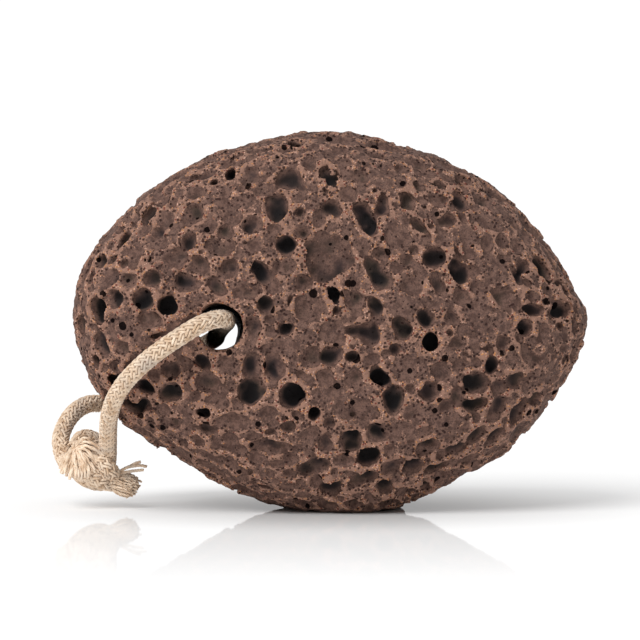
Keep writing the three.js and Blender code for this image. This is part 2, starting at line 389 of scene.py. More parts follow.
POCKETS = (
    (-28.7, 56.3, 1.4, 1.1, 90), (-40.2, 38.6, 2.0, 1.9, 0), (-34.5, 38.3, 2.1, 2.0, 90),
    (-32.8, 42.2, 1.9, 1.7, 90), (-26.4, 41.3, 2.5, 1.6, -10), (-20.8, 40.9, 2.0, 1.4, -40),
    (-12.7, 43.9, 2.7, 2.0, -50), (-25.9, 49.2, 2.0, 1.9, 90), (-19.4, 50.8, 1.6, 1.5, 0),
    (-12.5, 66.0, 3.0, 1.4, -12), (-8.2, 66.2, 2.3, 1.4, -20), (-7.4, 61.0, 2.7, 2.4, 20),
    (-7.0, 63.0, 1.2, 1.2, 0), (-3.9, 63.5, 2.0, 1.6, 90), (-10.0, 55.4, 2.6, 2.3, 90),
    (0.6, 55.2, 2.3, 1.7, -20), (-2.1, 53.5, 1.8, 1.4, 60), (-5.1, 50.9, 1.7, 1.4, 10),
    (-9.9, 44.4, 1.4, 1.2, 90), (-4.9, 41.5, 2.0, 1.5, 80), (-3.9, 68.3, 1.1, 0.7, 0),
    (6.6, 53.4, 3.6, 2.0, -60), (9.5, 55.0, 1.6, 1.4, 30), (9.2, 46.6, 1.5, 1.3, 0),
    (8.8, 43.0, 3.2, 1.9, -62), (6.5, 67.2, 1.3, 0.8, 0), (14.3, 45.4, 1.4, 0.8, -35),
    (20.3, 40.8, 3.0, 1.3, -62), (19.3, 46.3, 2.2, 2.0, 0), (21.8, 53.0, 1.7, 1.6, 0),
    (26.6, 53.6, 0.9, 0.8, 0), (34.0, 52.1, 1.3, 0.9, -40), (29.3, 48.9, 1.6, 1.0, 80),
    (31.7, 49.3, 1.5, 1.3, 90), (23.6, 43.5, 2.5, 1.8, -65), (37.6, 39.0, 1.7, 1.1, -10),
    (43.4, 36.8, 2.5, 1.8, 30), (41.4, 36.0, 0.9, 0.8, 0), (31.8, 30.2, 1.6, 1.4, 90),
    (23.5, 30.0, 1.8, 1.5, 0), (-43.7, 33.2, 0.9, 0.8, 0), (-42.5, 30.0, 2.2, 1.7, -60),
    (-29.3, 25.2, 1.8, 1.5, -10), (-34.3, 19.0, 1.5, 1.2, 0), (-29.5, 21.3, 2.4, 2.1, 0),
    (-14.4, 25.7, 2.4, 1.6, 90), (-24.0, 14.5, 3.0, 1.3, -10), (-30.3, 13.9, 2.0, 0.8, -20),
    (-26.3, 10.5, 1.6, 0.7, -8), (-20.0, 10.9, 1.9, 0.6, 0), (-9.9, 26.2, 2.1, 1.7, -50),
    (0.3, 27.9, 2.0, 1.7, 0), (-6.5, 20.8, 2.6, 2.4, 45), (-7.7, 14.9, 1.6, 1.3, 15),
    (-10.8, 11.2, 3.9, 1.5, 2), (-0.8, 11.7, 2.1, 1.6, 75), (3.6, 12.3, 2.3, 2.2, 0),
    (0.0, 15.5, 1.1, 1.0, 0), (6.0, 32.2, 3.4, 1.9, -15), (13.4, 32.8, 2.3, 2.1, 90),
    (11.6, 19.5, 2.3, 1.9, 90), (18.3, 21.5, 2.1, 1.9, 90), (8.5, 13.5, 1.9, 1.8, 0),
    (6.0, 4.8, 2.8, 1.3, 20), (-3.2, 7.3, 3.3, 1.7, 20), (-10.2, 7.8, 1.6, 0.8, 0),
    (15.5, 7.1, 1.9, 1.7, 0), (27.3, 22.8, 2.3, 2.1, 60), (23.7, 20.3, 1.6, 1.2, 90),
    (31.0, 18.0, 2.8, 1.6, 58), (34.8, 17.5, 3.0, 1.7, 78), (34.5, 23.6, 1.9, 1.5, 70),
    (37.7, 17.3, 1.1, 0.9, 80), (27.4, 13.3, 2.6, 1.5, 60), (30.8, 13.0, 2.4, 1.7, 55),
    (23.3, 10.5, 2.0, 1.3, 15), (26.0, 8.6, 1.9, 1.1, 30), (-40.0, 25.6, 1.4, 1.0, 60),
    (-16.6, 7.2, 1.6, 0.6, -30), (30.0, 10.4, 1.8, 0.8, 30), (-14.3, 21.4, 2.7, 2.2, 20),
)
HOLES = (
    (-18.1, 61.6, 1.7, 1.4, 80), (-21.4, 60.1, 0.9, 0.8, 0), (-36.3, 52.4, 0.6, 0.6, 0),
    (-32.1, 50.8, 1.2, 0.8, 10), (-38.2, 49.5, 2.0, 1.1, 60), (-40.3, 45.8, 1.1, 0.6, 15),
    (-37.9, 45.1, 0.5, 0.5, 0), (-15.2, 51.5, 1.6, 0.8, -55), (-15.5, 48.9, 0.5, 0.5, 0),
    (-21.6, 48.4, 0.5, 0.5, 0), (-15.6, 45.1, 1.1, 0.6, -30), (-29.8, 36.8, 2.3, 1.7, -15),
    (-0.8, 66.8, 0.6, 0.5, 0), (-5.6, 54.4, 1.2, 0.9, -50), (-8.0, 48.3, 1.8, 1.7, 0),
    (3.0, 48.3, 0.7, 0.5, -20), (-7.5, 38.0, 1.6, 0.8, 80), (-4.6, 38.2, 1.0, 0.4, -35),
    (1.1, 36.4, 0.9, 0.7, 0), (8.4, 37.4, 1.7, 1.1, -70), (4.3, 51.2, 1.3, 0.5, -72),
    (7.3, 54.6, 2.4, 0.7, -62), (8.2, 58.4, 0.7, 0.6, 0), (17.0, 51.4, 2.6, 0.7, -45),
    (21.2, 57.0, 0.8, 0.6, 70), (24.4, 53.6, 1.2, 0.5, -75), (29.2, 57.1, 0.6, 0.4, 0),
    (28.6, 52.5, 0.9, 0.3, 5), (21.4, 48.4, 0.7, 0.4, -60), (24.2, 46.2, 1.7, 0.5, -42),
    (11.4, 47.4, 0.4, 0.7, 0), (7.2, 46.0, 0.4, 0.4, 0), (15.8, 58.0, 0.5, 0.4, 0),
    (17.3, 34.7, 1.8, 1.2, -55), (18.7, 30.3, 2.4, 2.0, 60), (42.5, 33.5, 1.0, 0.8, 0),
    (30.2, 36.2, 0.5, 0.4, 0), (22.0, 32.2, 0.7, 0.5, -50), (35.0, 31.0, 1.1, 0.5, -62),
    (37.2, 36.6, 1.9, 1.0, -5), (-41.6, 28.7, 1.1, 0.9, 70), (-42.5, 24.1, 0.9, 0.6, -70),
    (-31.7, 31.8, 1.8, 0.8, 15), (-34.0, 21.8, 2.0, 1.1, -15), (-28.0, 21.8, 0.5, 0.3, -20),
    (-23.4, 17.5, 1.5, 1.1, 0), (-23.2, 24.7, 1.3, 0.4, 0), (-25.2, 28.4, 0.4, 0.5, 0),
    (-11.6, 17.2, 0.5, 0.5, 0), (-12.8, 3.9, 2.5, 0.7, -8), (-8.1, 33.2, 1.3, 0.9, 0),
    (-10.5, 24.8, 1.3, 1.0, -60), (4.2, 27.8, 1.3, 1.0, 0), (-3.0, 17.5, 1.4, 1.3, 0),
    (-10.7, 13.7, 1.3, 0.5, -8), (7.2, 31.2, 0.8, 0.6, 0), (12.1, 29.3, 1.0, 0.8, 90),
    (10.8, 26.3, 0.9, 0.4, 80), (9.0, 24.2, 2.1, 1.7, -60), (4.5, 17.0, 0.8, 0.7, -40),
    (8.7, 18.5, 0.7, 0.6, 0), (11.4, 19.7, 0.4, 0.3, 0), (7.3, 9.3, 2.2, 1.5, 22),
    (7.0, 5.4, 1.1, 0.6, -20), (14.8, 11.9, 0.5, 0.4, 0), (15.2, 4.4, 1.4, 0.6, 20),
    (20.0, 7.2, 2.7, 1.0, 20), (29.7, 26.3, 1.9, 1.2, 75), (27.2, 19.0, 2.2, 1.2, 20),
    (42.3, 26.7, 0.9, 0.5, -60), (-1.9, 31.0, 0.5, 0.4, 0), (-11.1, 34.5, 0.7, 0.5, 0),
)
CRACKS = (
    (9.9, 60.6, 4.6, 0.45, -66), (24.0, 59.7, 1.8, 0.4, -65), (29.2, 44.0, 2.3, 0.4, -60),
    (34.4, 43.2, 2.3, 0.6, -65), (32.6, 46.0, 1.6, 0.35, -15), (31.3, 38.2, 3.0, 0.4, -55),
    (27.4, 34.0, 2.5, 0.4, -15), (39.0, 26.5, 1.9, 0.45, -38), (33.0, 36.6, 1.4, 0.4, -80),
)


# -------------------------------------------------------------------- makers


Value = bpy.types.NodeSocket | float | tuple | bool | int


class NodeBench:
    """Adds nodes to one tree and joins them, for shaders and for geometry."""

    def __init__(self, tree: bpy.types.NodeTree) -> None:
        """Takes the tree to work on."""
        self.tree = tree

    def feed(self, socket: bpy.types.NodeSocket, value: Value) -> None:
        """Sets a socket, or links an output into it."""
        if isinstance(value, bpy.types.NodeSocket):
            self.tree.links.new(value, socket)
        else:
            socket.default_value = value

    def add(self, kind: str, inputs: dict | None = None, **settings: object) -> bpy.types.Node:
        """Adds a node.

        Args:
            kind: The node's type.
            inputs: Its sockets, by name or number, and what they take.
            settings: Its other properties.

        Returns:
            The node.
        """
        node = self.tree.nodes.new(kind)
        for name, value in settings.items():
            setattr(node, name, value)
        for name, value in (inputs or {}).items():
            self.feed(node.inputs[name], value)
        return node

    def math(self, operation: str, *values: Value) -> bpy.types.NodeSocket:
        """Adds a sum of one, two or three values."""
        node = self.add("ShaderNodeMath", dict(enumerate(values)), operation=operation)
        return node.outputs[0]

    def ramp(self, value: Value, low: float, high: float, start: float = 0.0,
             end: float = 1.0) -> bpy.types.NodeSocket:
        """Maps low..high smoothly onto start..end."""
        node = self.add(
            "ShaderNodeMapRange", {0: value, 1: low, 2: high, 3: start, 4: end},
            interpolation_type="SMOOTHSTEP")
        return node.outputs[0]

    def mix(self, share: Value, first: Value, second: Value) -> bpy.types.NodeSocket:
        """Mixes two colours by a share."""
        node = self.add("ShaderNodeMix", {0: share, 6: first, 7: second}, data_type="RGBA")
        return node.outputs[2]

    def noise(self, place: Value, grain: float, detail: float = 2.0,
              rough: float = 0.5) -> bpy.types.NodeSocket:
        """Adds noise whose grain is in millimetres."""
        node = self.add("ShaderNodeTexNoise", {
            "Vector": place, "Scale": 1.0 / (grain * MM), "Detail": detail, "Roughness": rough})
        return node.outputs[0]

    def cells(self, place: Value, grain: float) -> bpy.types.Node:
        """Adds Voronoi cells whose spacing is in millimetres."""
        return self.add("ShaderNodeTexVoronoi", {"Vector": place, "Scale": 1.0 / (grain * MM)})

    def place(self) -> bpy.types.NodeSocket:
        """Adds the piece's own coordinates."""
        return self.add("ShaderNodeTexCoord").outputs["Object"]

    def attribute(self, name: str) -> bpy.types.NodeSocket:
        """Adds one of the piece's own attributes."""
        return self.add("ShaderNodeAttribute", attribute_name=name).outputs["Fac"]

    def bump(self, shader: bpy.types.Node, height: Value, strength: float, distance: float) -> None:
        """Roughens a shader by a height, with its reach in millimetres."""
        node = self.add("ShaderNodeBump", {
            "Height": height, "Strength": strength, "Distance": distance * MM})
        self.feed(shader.inputs["Normal"], node.outputs[0])


def srgb(tint: Tint) -> tuple[float, float, float, float]:
    """Turns a display colour into a scene colour.

    Args:
        tint: Red, green and blue, from 0 to 255.

    Returns:
        The linear colour, with its alpha.
    """
    levels = [channel / 255.0 for channel in tint]
    linear = [c / 12.92 if c <= 0.04045 else ((c + 0.055) / 1.055) ** 2.4 for c in levels]
    return (*linear, 1.0)


def started(name: str) -> tuple[bpy.types.Material, NodeBench, bpy.types.Node]:
    """Starts a material.

    Args:
        name: Its name.

    Returns:
        The material, a bench on its tree, and its shader.
    """
    material = bpy.data.materials.new(name)
    material.use_nodes = True
    bench = NodeBench(material.node_tree)
    return material, bench, material.node_tree.nodes["Principled BSDF"]


def new_piece(name: str, mesh: bpy.types.Mesh, material: bpy.types.Material) -> bpy.types.Object:
    """Makes a smooth-shaded piece with one material.

    Args:
        name: The piece's name.
        mesh: Its mesh, in metres.
        material: Its finish.

    Returns:
        The new object, in the scene.
    """
    mesh.name = name
    mesh.materials.clear()
    mesh.materials.append(material)
    mesh.polygons.foreach_set("use_smooth", np.ones(len(mesh.polygons), dtype=bool))
    mesh.update()
    piece = bpy.data.objects.new(name, mesh)
    bpy.context.scene.collection.objects.link(piece)
    return piece


def mesh_from(points: np.ndarray, faces: np.ndarray) -> bpy.types.Mesh:
    """Makes a mesh of faces that all have the same number of corners.

    Args:
        points: Places in metres, one in each row.
        faces: Corner numbers, one face in each row.

    Returns:
        The mesh.
    """
    mesh = bpy.data.meshes.new("draft")
    corners = faces.shape[1]
    mesh.vertices.add(len(points))
    mesh.vertices.foreach_set("co", points.astype(np.float32).ravel())
    mesh.loops.add(faces.size)
    mesh.loops.foreach_set("vertex_index", faces.astype(np.int32).ravel())
    mesh.polygons.add(len(faces))
    mesh.polygons.foreach_set("loop_start", np.arange(0, faces.size, corners, dtype=np.int32))
    mesh.update(calc_edges=True)
    return mesh


def mesh_points(mesh: bpy.types.Mesh) -> np.ndarray:
    """Reads a mesh's places.

    Args:
        mesh: The mesh.

    Returns:
        Its places in millimetres, one in each row.
    """
    points = np.empty(3 * len(mesh.vertices), dtype=np.float32)
    mesh.vertices.foreach_get("co", points)
    return points.reshape(-1, 3) / MM


def baked(piece: bpy.types.Object) -> bpy.types.Mesh:
    """Puts a piece's modifiers into its mesh, and removes the piece.

    Args:
        piece: The piece.

    Returns:
        The plain mesh.
    """
    evaluated = piece.evaluated_get(bpy.context.evaluated_depsgraph_get())
    mesh = bpy.data.meshes.new_from_object(evaluated)
    bpy.data.objects.remove(piece)
    return mesh


def thinned(mesh: bpy.types.Mesh, triangles: int) -> bpy.types.Mesh:
    """Brings a mesh down to a number of triangles.

    Args:
        mesh: The mesh.
        triangles: The number wanted.

    Returns:
        The thinned mesh.
    """
    piece = bpy.data.objects.new("draft", mesh)
    bpy.context.scene.collection.objects.link(piece)
    present = sum(len(polygon.vertices) - 2 for polygon in mesh.polygons)
    modifier = piece.modifiers.new("thin", "DECIMATE")
    modifier.ratio = min(1.0, triangles / present)
    return baked(piece)


def joined(pieces: list[bpy.types.Object]) -> bpy.types.Object:
    """Joins pieces.

    Args:
        pieces: The pieces; the first one takes in the others.

    Returns:
        The first piece.
    """
    with bpy.context.temp_override(active_object=pieces[0], selected_editable_objects=pieces):
        bpy.ops.object.join()
    return pieces[0]


def largest_island(points: np.ndarray, faces: np.ndarray) -> tuple[np.ndarray, np.ndarray]:
    """Keeps the largest connected part of a mesh.

    Args:
        points: Its places.
        faces: Its faces, as corner numbers.

    Returns:
        The places and faces that are kept.
    """
    label = np.arange(len(points))
    first, second = faces, np.roll(faces, 1, axis=1)
    while True:
        low = np.minimum(label[first], label[second]).ravel()
        before = label.copy()
        np.minimum.at(label, label[first.ravel()], low)
        np.minimum.at(label, label[second.ravel()], low)
        label = label[label]
        if np.array_equal(before, label):
            break
    names, sizes = np.unique(label, return_counts=True)
    kept = label == names[np.argmax(sizes)]
    number = np.cumsum(kept) - 1
    return points[kept], number[faces[kept[faces[:, 0]]]]


# --------------------------------------------------------------- lava finish


@dataclass(frozen=True)
class Crumbs:
    """Crumbs of one colour on the ridges.

    Attributes:
        tint: Their colour, in display levels.
        spacing: The distance between them, in millimetres.
        rarity: How few of the places have one, near 0.5.
    """

    tint: Tint
    spacing: float
    rarity: float


@dataclass(frozen=True)
class LavaFinish:
    """Dark vesicular lava: smooth bubble walls, crumbly paler ridges, and painted shade in the
    holes.

    Colours are display levels, and grains, spacings and depths are in
    millimetres.

    Attributes:
        wall: The bubble walls' middle tint; its darkness against the skin is partly the walls' own
            and partly painted shade.
        wall_olive: Their tint in greener patches.
        wall_plum: Their tint in redder ones, and of the dark grains.
        skin: The lighter tint near the stone's skin.
        skin_dark: The darker one.
        crest: The crumbly ridges' tint.
        pinhole_shade: The painted shade in the pinholes.
        deep: The painted shade far down in the holes, and in the wider holes painted black.
        crumbs: The crumbs on the ridges.
        grit: The grain of the finest noise.
        crumble: The grain of the ridges' edges.
        relief: The grain of the bump on the ridges.
        mottle: The grain of the two skin tints.
        tinge: The grain of the first two wall tints.
        patch: The grain of the olive patches.
        froth: The spacing of crowded pinholes.
        pinhole: The spacing of single ones.
        crowd: The grain of the places where they crowd.
        wide_hole: The spacing of the places for wider holes, painted black as shade.
        skin_depth: Where the skin's tint begins, going up, and is full.
        crest_depth: Where ridges begin to show, going up, and show fully.
        painted_shade_depth: Where the painted shade begins, going down, and is full.
        painted_shade_share: The share of the painted shade where it is full.
        roughness: The shader's roughness.
        gloss: The shader's specular level outside the wider holes painted black as shade.
        bump_reach: The bump's height.
    """

    wall: Tint = (66, 51, 47)
    wall_olive: Tint = (73, 59, 50)
    wall_plum: Tint = (57, 44, 44)
    skin: Tint = (114, 86, 75)
    skin_dark: Tint = (84, 61, 53)
    crest: Tint = (152, 115, 98)
    pinhole_shade: Tint = (50, 27, 23)
    deep: Tint = (10, 8, 10)
    crumbs: tuple[Crumbs, ...] = (
        Crumbs((194, 132, 80), 0.4, 0.52),
        Crumbs((212, 168, 148), 0.33, 0.52),
        Crumbs((112, 52, 42), 0.55, 0.56),
    )
    grit: float = 0.3
    crumble: float = 0.7
    relief: float = 0.9
    mottle: float = 1.1
    tinge: float = 2.4
    patch: float = 7.0
    froth: float = 0.78
    pinhole: float = 1.5
    crowd: float = 2.3
    wide_hole: float = 3.8
    skin_depth: Pair = (1.9, 0.5)
    crest_depth: Pair = (1.9, 0.8)
    painted_shade_depth: Pair = (1.1, 2.4)
    painted_shade_share: float = 0.95
    roughness: float = 0.88
    gloss: float = 0.25
    bump_reach: float = 0.4

    def walls(self, bench: NodeBench, place: Value, tinge: Value) -> bpy.types.NodeSocket:
        """Builds the bubble walls' colour, in three close tints.

        Args:
            bench: The material's tree.
            place: Object coordinates.
            tinge: Noise that parts the first two tints.

        Returns:
            The colour.
        """
        patches = bench.noise(place, self.patch)
        wall = bench.mix(bench.ramp(tinge, 0.38, 0.6), srgb(self.wall_plum), srgb(self.wall))
        return bench.mix(bench.ramp(patches, 0.42, 0.62), wall, srgb(self.wall_olive))

    def crested(self, bench: NodeBench, place: Value, ridge: Value, depth: Value,
                grain: Value) -> bpy.types.NodeSocket:
        """Builds the share of crumbly ridge.

        Args:
            bench: The material's tree.
            place: Object coordinates.
            ridge: The piece's ridge attribute.
            depth: The piece's depth attribute.
            grain: Fine noise.

        Returns:
            The share, from 0 to 1.
        """
        crumbly = bench.math(
            "MULTIPLY_ADD", bench.noise(place, self.crumble, 3.0, 0.7), 1.3, -0.65)
        crest = bench.math("ADD", bench.math("ADD", ridge, crumbly),
                           bench.math("MULTIPLY_ADD", grain, 0.6, -0.3))
        return bench.math("MULTIPLY", bench.ramp(crest, 0.5, 0.84),
                          bench.ramp(depth, *self.crest_depth))

    def colour(self, bench: NodeBench, place: Value, ridge: Value, depth: Value,
               grain: Value, holes: Value, painted_hole_shade: Value) -> bpy.types.NodeSocket:
        """Builds the colour from the walls up to the ridges and their specks, with painted shade in
        the holes.

        Args:
            bench: The material's tree.
            place: Object coordinates.
            ridge: The piece's ridge attribute.
            depth: The piece's depth attribute.
            grain: Fine noise.
            holes: The share of pinhole at a place.
            painted_hole_shade: The share of a wider hole at a place, painted black as shade.

        Returns:
            The colour.
        """
        tinge = bench.noise(place, self.tinge)
        wall = self.walls(bench, place, tinge)
        skin = bench.mix(bench.ramp(bench.noise(place, self.mottle, 3.0, 0.7), 0.38, 0.6),
                         srgb(self.skin_dark), srgb(self.skin))
        level = bench.math("MULTIPLY_ADD", tinge, 0.9, -0.45)
        # The walls darken below the skin: partly their own tint, partly painted shade by depth.
        shallow = bench.ramp(bench.math("ADD", depth, level), *self.skin_depth)
        colour = bench.mix(shallow, wall, skin)
        colour = bench.mix(bench.ramp(grain, 0.5, 0.34, 0.0, 0.6), colour, srgb(self.wall_plum))
        crest = self.crested(bench, place, ridge, depth, grain)
        colour = bench.mix(crest, colour, srgb(self.crest))
        for crumbs in self.crumbs:
            colour = self.speckled(bench, place, colour, crest, crumbs)
        # Painted shade in the pinholes.
        colour = bench.mix(bench.math("MULTIPLY", holes, 0.9), colour, srgb(self.pinhole_shade))
        # Painted shade far down in the holes, and in the wider holes painted black as shade.
        dark = bench.math("MAXIMUM", bench.ramp(depth, *self.painted_shade_depth, 0.0, self.painted_shade_share),
                          bench.math("MULTIPLY", painted_hole_shade, self.painted_shade_share))
        return bench.mix(dark, colour, srgb(self.deep))

    def speckled(self, bench: NodeBench, place: Value, colour: Value, share: Value,
                 crumbs: Crumbs) -> bpy.types.NodeSocket:
        """Adds crumbs of another colour where the share is high.

        Args:
            bench: The material's tree.
            place: Object coordinates.
            colour: The colour so far.
            share: Where crumbs may lie.
            crumbs: Their colour and how they lie.

        Returns:
            The colour with its crumbs.
        """
        cells = bench.cells(place, crumbs.spacing)
        chosen = bench.noise(cells.outputs["Position"], 0.9, 1.0)
        spot = bench.math("MULTIPLY", bench.math("GREATER_THAN", chosen, crumbs.rarity),
                          bench.ramp(cells.outputs["Distance"], 0.46, 0.2))
        return bench.mix(bench.math("MULTIPLY", spot, share), colour, srgb(crumbs.tint))

    def pinholes(self, bench: NodeBench, place: Value, ridge: Value) -> bpy.types.NodeSocket:
        """Scatters tiny pinholes, bubbles that broke open, dense on ridges and sparse in the bowls;
        the finish paints shade in them.

        Args:
            bench: The material's tree.
            place: Object coordinates.
            ridge: The piece's ridge attribute.

        Returns:
            The share of pinhole, from 0 to 1.
        """
        froth = bench.ramp(bench.cells(place, self.froth).outputs["Distance"], 0.36, 0.24)
        crowd = bench.ramp(bench.math(
            "MULTIPLY_ADD", ridge, 0.4, bench.noise(place, self.crowd)), 0.62, 0.72)
        single = bench.ramp(bench.cells(place, self.pinhole).outputs["Distance"], 0.13, 0.08)
        return bench.math("MAXIMUM", bench.math("MULTIPLY", froth, crowd), single)

    def painted_hole_shade(self, bench: NodeBench, place: Value, grain: Value) -> bpy.types.NodeSocket:
        """Scatters a few wider holes with ragged edges; the finish paints them black as shade.

        Args:
            bench: The material's tree.
            place: Object coordinates.
            grain: Fine noise, for the edges.

        Returns:
            The share of hole, from 0 to 1.
        """
        cells = bench.cells(place, self.wide_hole)
        chosen = bench.noise(cells.outputs["Position"], 0.9, 1.0)
        size = bench.math("MULTIPLY_ADD", chosen, 0.46, bench.math("MULTIPLY", grain, 0.1))
        inside = bench.math("SUBTRACT", size, cells.outputs["Distance"])
        return bench.ramp(inside, 0.135, 0.155)

    def height(self, bench: NodeBench, place: Value, ridge: Value, grain: Value,
               hollow: Value) -> bpy.types.NodeSocket:
        """Builds the bump's height: rough ridges, calmer walls, sunk holes.

        Args:
            bench: The material's tree.
            place: Object coordinates.
            ridge: The piece's ridge attribute.
            grain: Fine noise.
            hollow: The share of a hole of either kind.

        Returns:
            The height.
        """
        coarse = bench.math("MULTIPLY", bench.noise(place, self.relief, 2.0, 0.6),
                            bench.ramp(ridge, 0.3, 0.8, 0.25, 1.3))
        height = bench.math("MULTIPLY_ADD", grain, bench.ramp(ridge, 0.3, 0.8, 0.25, 0.8), coarse)
        return bench.math("MULTIPLY_ADD", hollow, -0.9, height)

    def build(self) -> bpy.types.Material:
        """Makes the material.

        Returns:
            The material, which reads the piece's depth and ridge attributes.
        """
        material, bench, shader = started("vesicular_lava")
        place = bench.place()
        ridge = bench.attribute("ridge")
        depth = bench.attribute("depth")
        grain = bench.noise(place, self.grit, 3.0, 0.65)
        holes = self.pinholes(bench, place, ridge)
        painted_hole_shade = self.painted_hole_shade(bench, place, grain)
        bench.feed(shader.inputs["Base Color"],
                   self.colour(bench, place, ridge, depth, grain, holes, painted_hole_shade))
        shader.inputs["Roughness"].default_value = self.roughness
        bench.feed(shader.inputs["Specular IOR Level"],
                   bench.ramp(painted_hole_shade, 0.0, 1.0, self.gloss, 0.0))
        hollow = bench.math("MAXIMUM", holes, painted_hole_shade)
        height = self.height(bench, place, ridge, grain, hollow)
        bench.bump(shader, height, 1.0, self.bump_reach)
        return material


# --------------------------------------------------------------- lava stone


@dataclass(frozen=True)
class Bore:
    """The drilled way for the cord: a cylinder, tilted and turned a little.

    Lengths are in millimetres and angles in degrees.

    Attributes:
        x: Where its axis crosses the outline's plane, from side to side.
        z: The height of that place.
        radius: Its radius.
        tilt: How far its back end is above its front end.
        turn: How far its back end is turned to the left.
    """

    x: float = -20.6
    z: float = 32.85
    radius: float = 4.2
    tilt: float = -4.6
    turn: float = 2.4

    @property
    def way(self) -> np.ndarray:
        """Works out its direction.

        Returns:
            The unit direction, from the front to the back.
        """
        tilt = math.radians(self.tilt)
        turn = math.radians(self.turn)
        return np.array([-math.sin(turn) * math.cos(tilt), math.cos(turn) * math.cos(tilt),
                         math.sin(tilt)])

    @property
    def middle(self) -> np.ndarray:
        """The point of its axis in the outline's plane."""
        return np.array([self.x, 0.0, self.z])

    def reach(self, points: np.ndarray) -> np.ndarray:
        """How far points are from its axis."""
        offset = points - self.middle
        return np.linalg.norm(offset - np.outer(offset @ self.way, self.way), axis=1)

    def distance(self, block: VoxelBlock) -> np.ndarray:
        """Works out the distance to its wall.

        Args:
            block: The block of samples.

        Returns:
            The distance at each of them, positive inside the bore.
        """
        x = block.axis(0)[:, None, None] - np.float32(self.x)
        y = block.axis(1)[None, :, None]
        z = block.axis(2)[None, None, :] - np.float32(self.z)
        way = self.way.astype(np.float32)
        along = x * way[0] + y * way[1] + z * way[2]
        square = x * x + y * y + z * z - along * along
        return np.float32(self.radius) - np.sqrt(np.maximum(square, 0.0))


@dataclass(frozen=True)
class SizeClass:
    """One size of scattered bubbles.

    Attributes:
        least: The smallest radius, in millimetres.
        most: The largest radius.
        tries: How many places are tried.
        dish: Whether they are shallow dishes that reach up to their
            neighbours, so that only thin ridges of the skin are left.
    """

    least: float
    most: float
    tries: int
    dish: bool = False


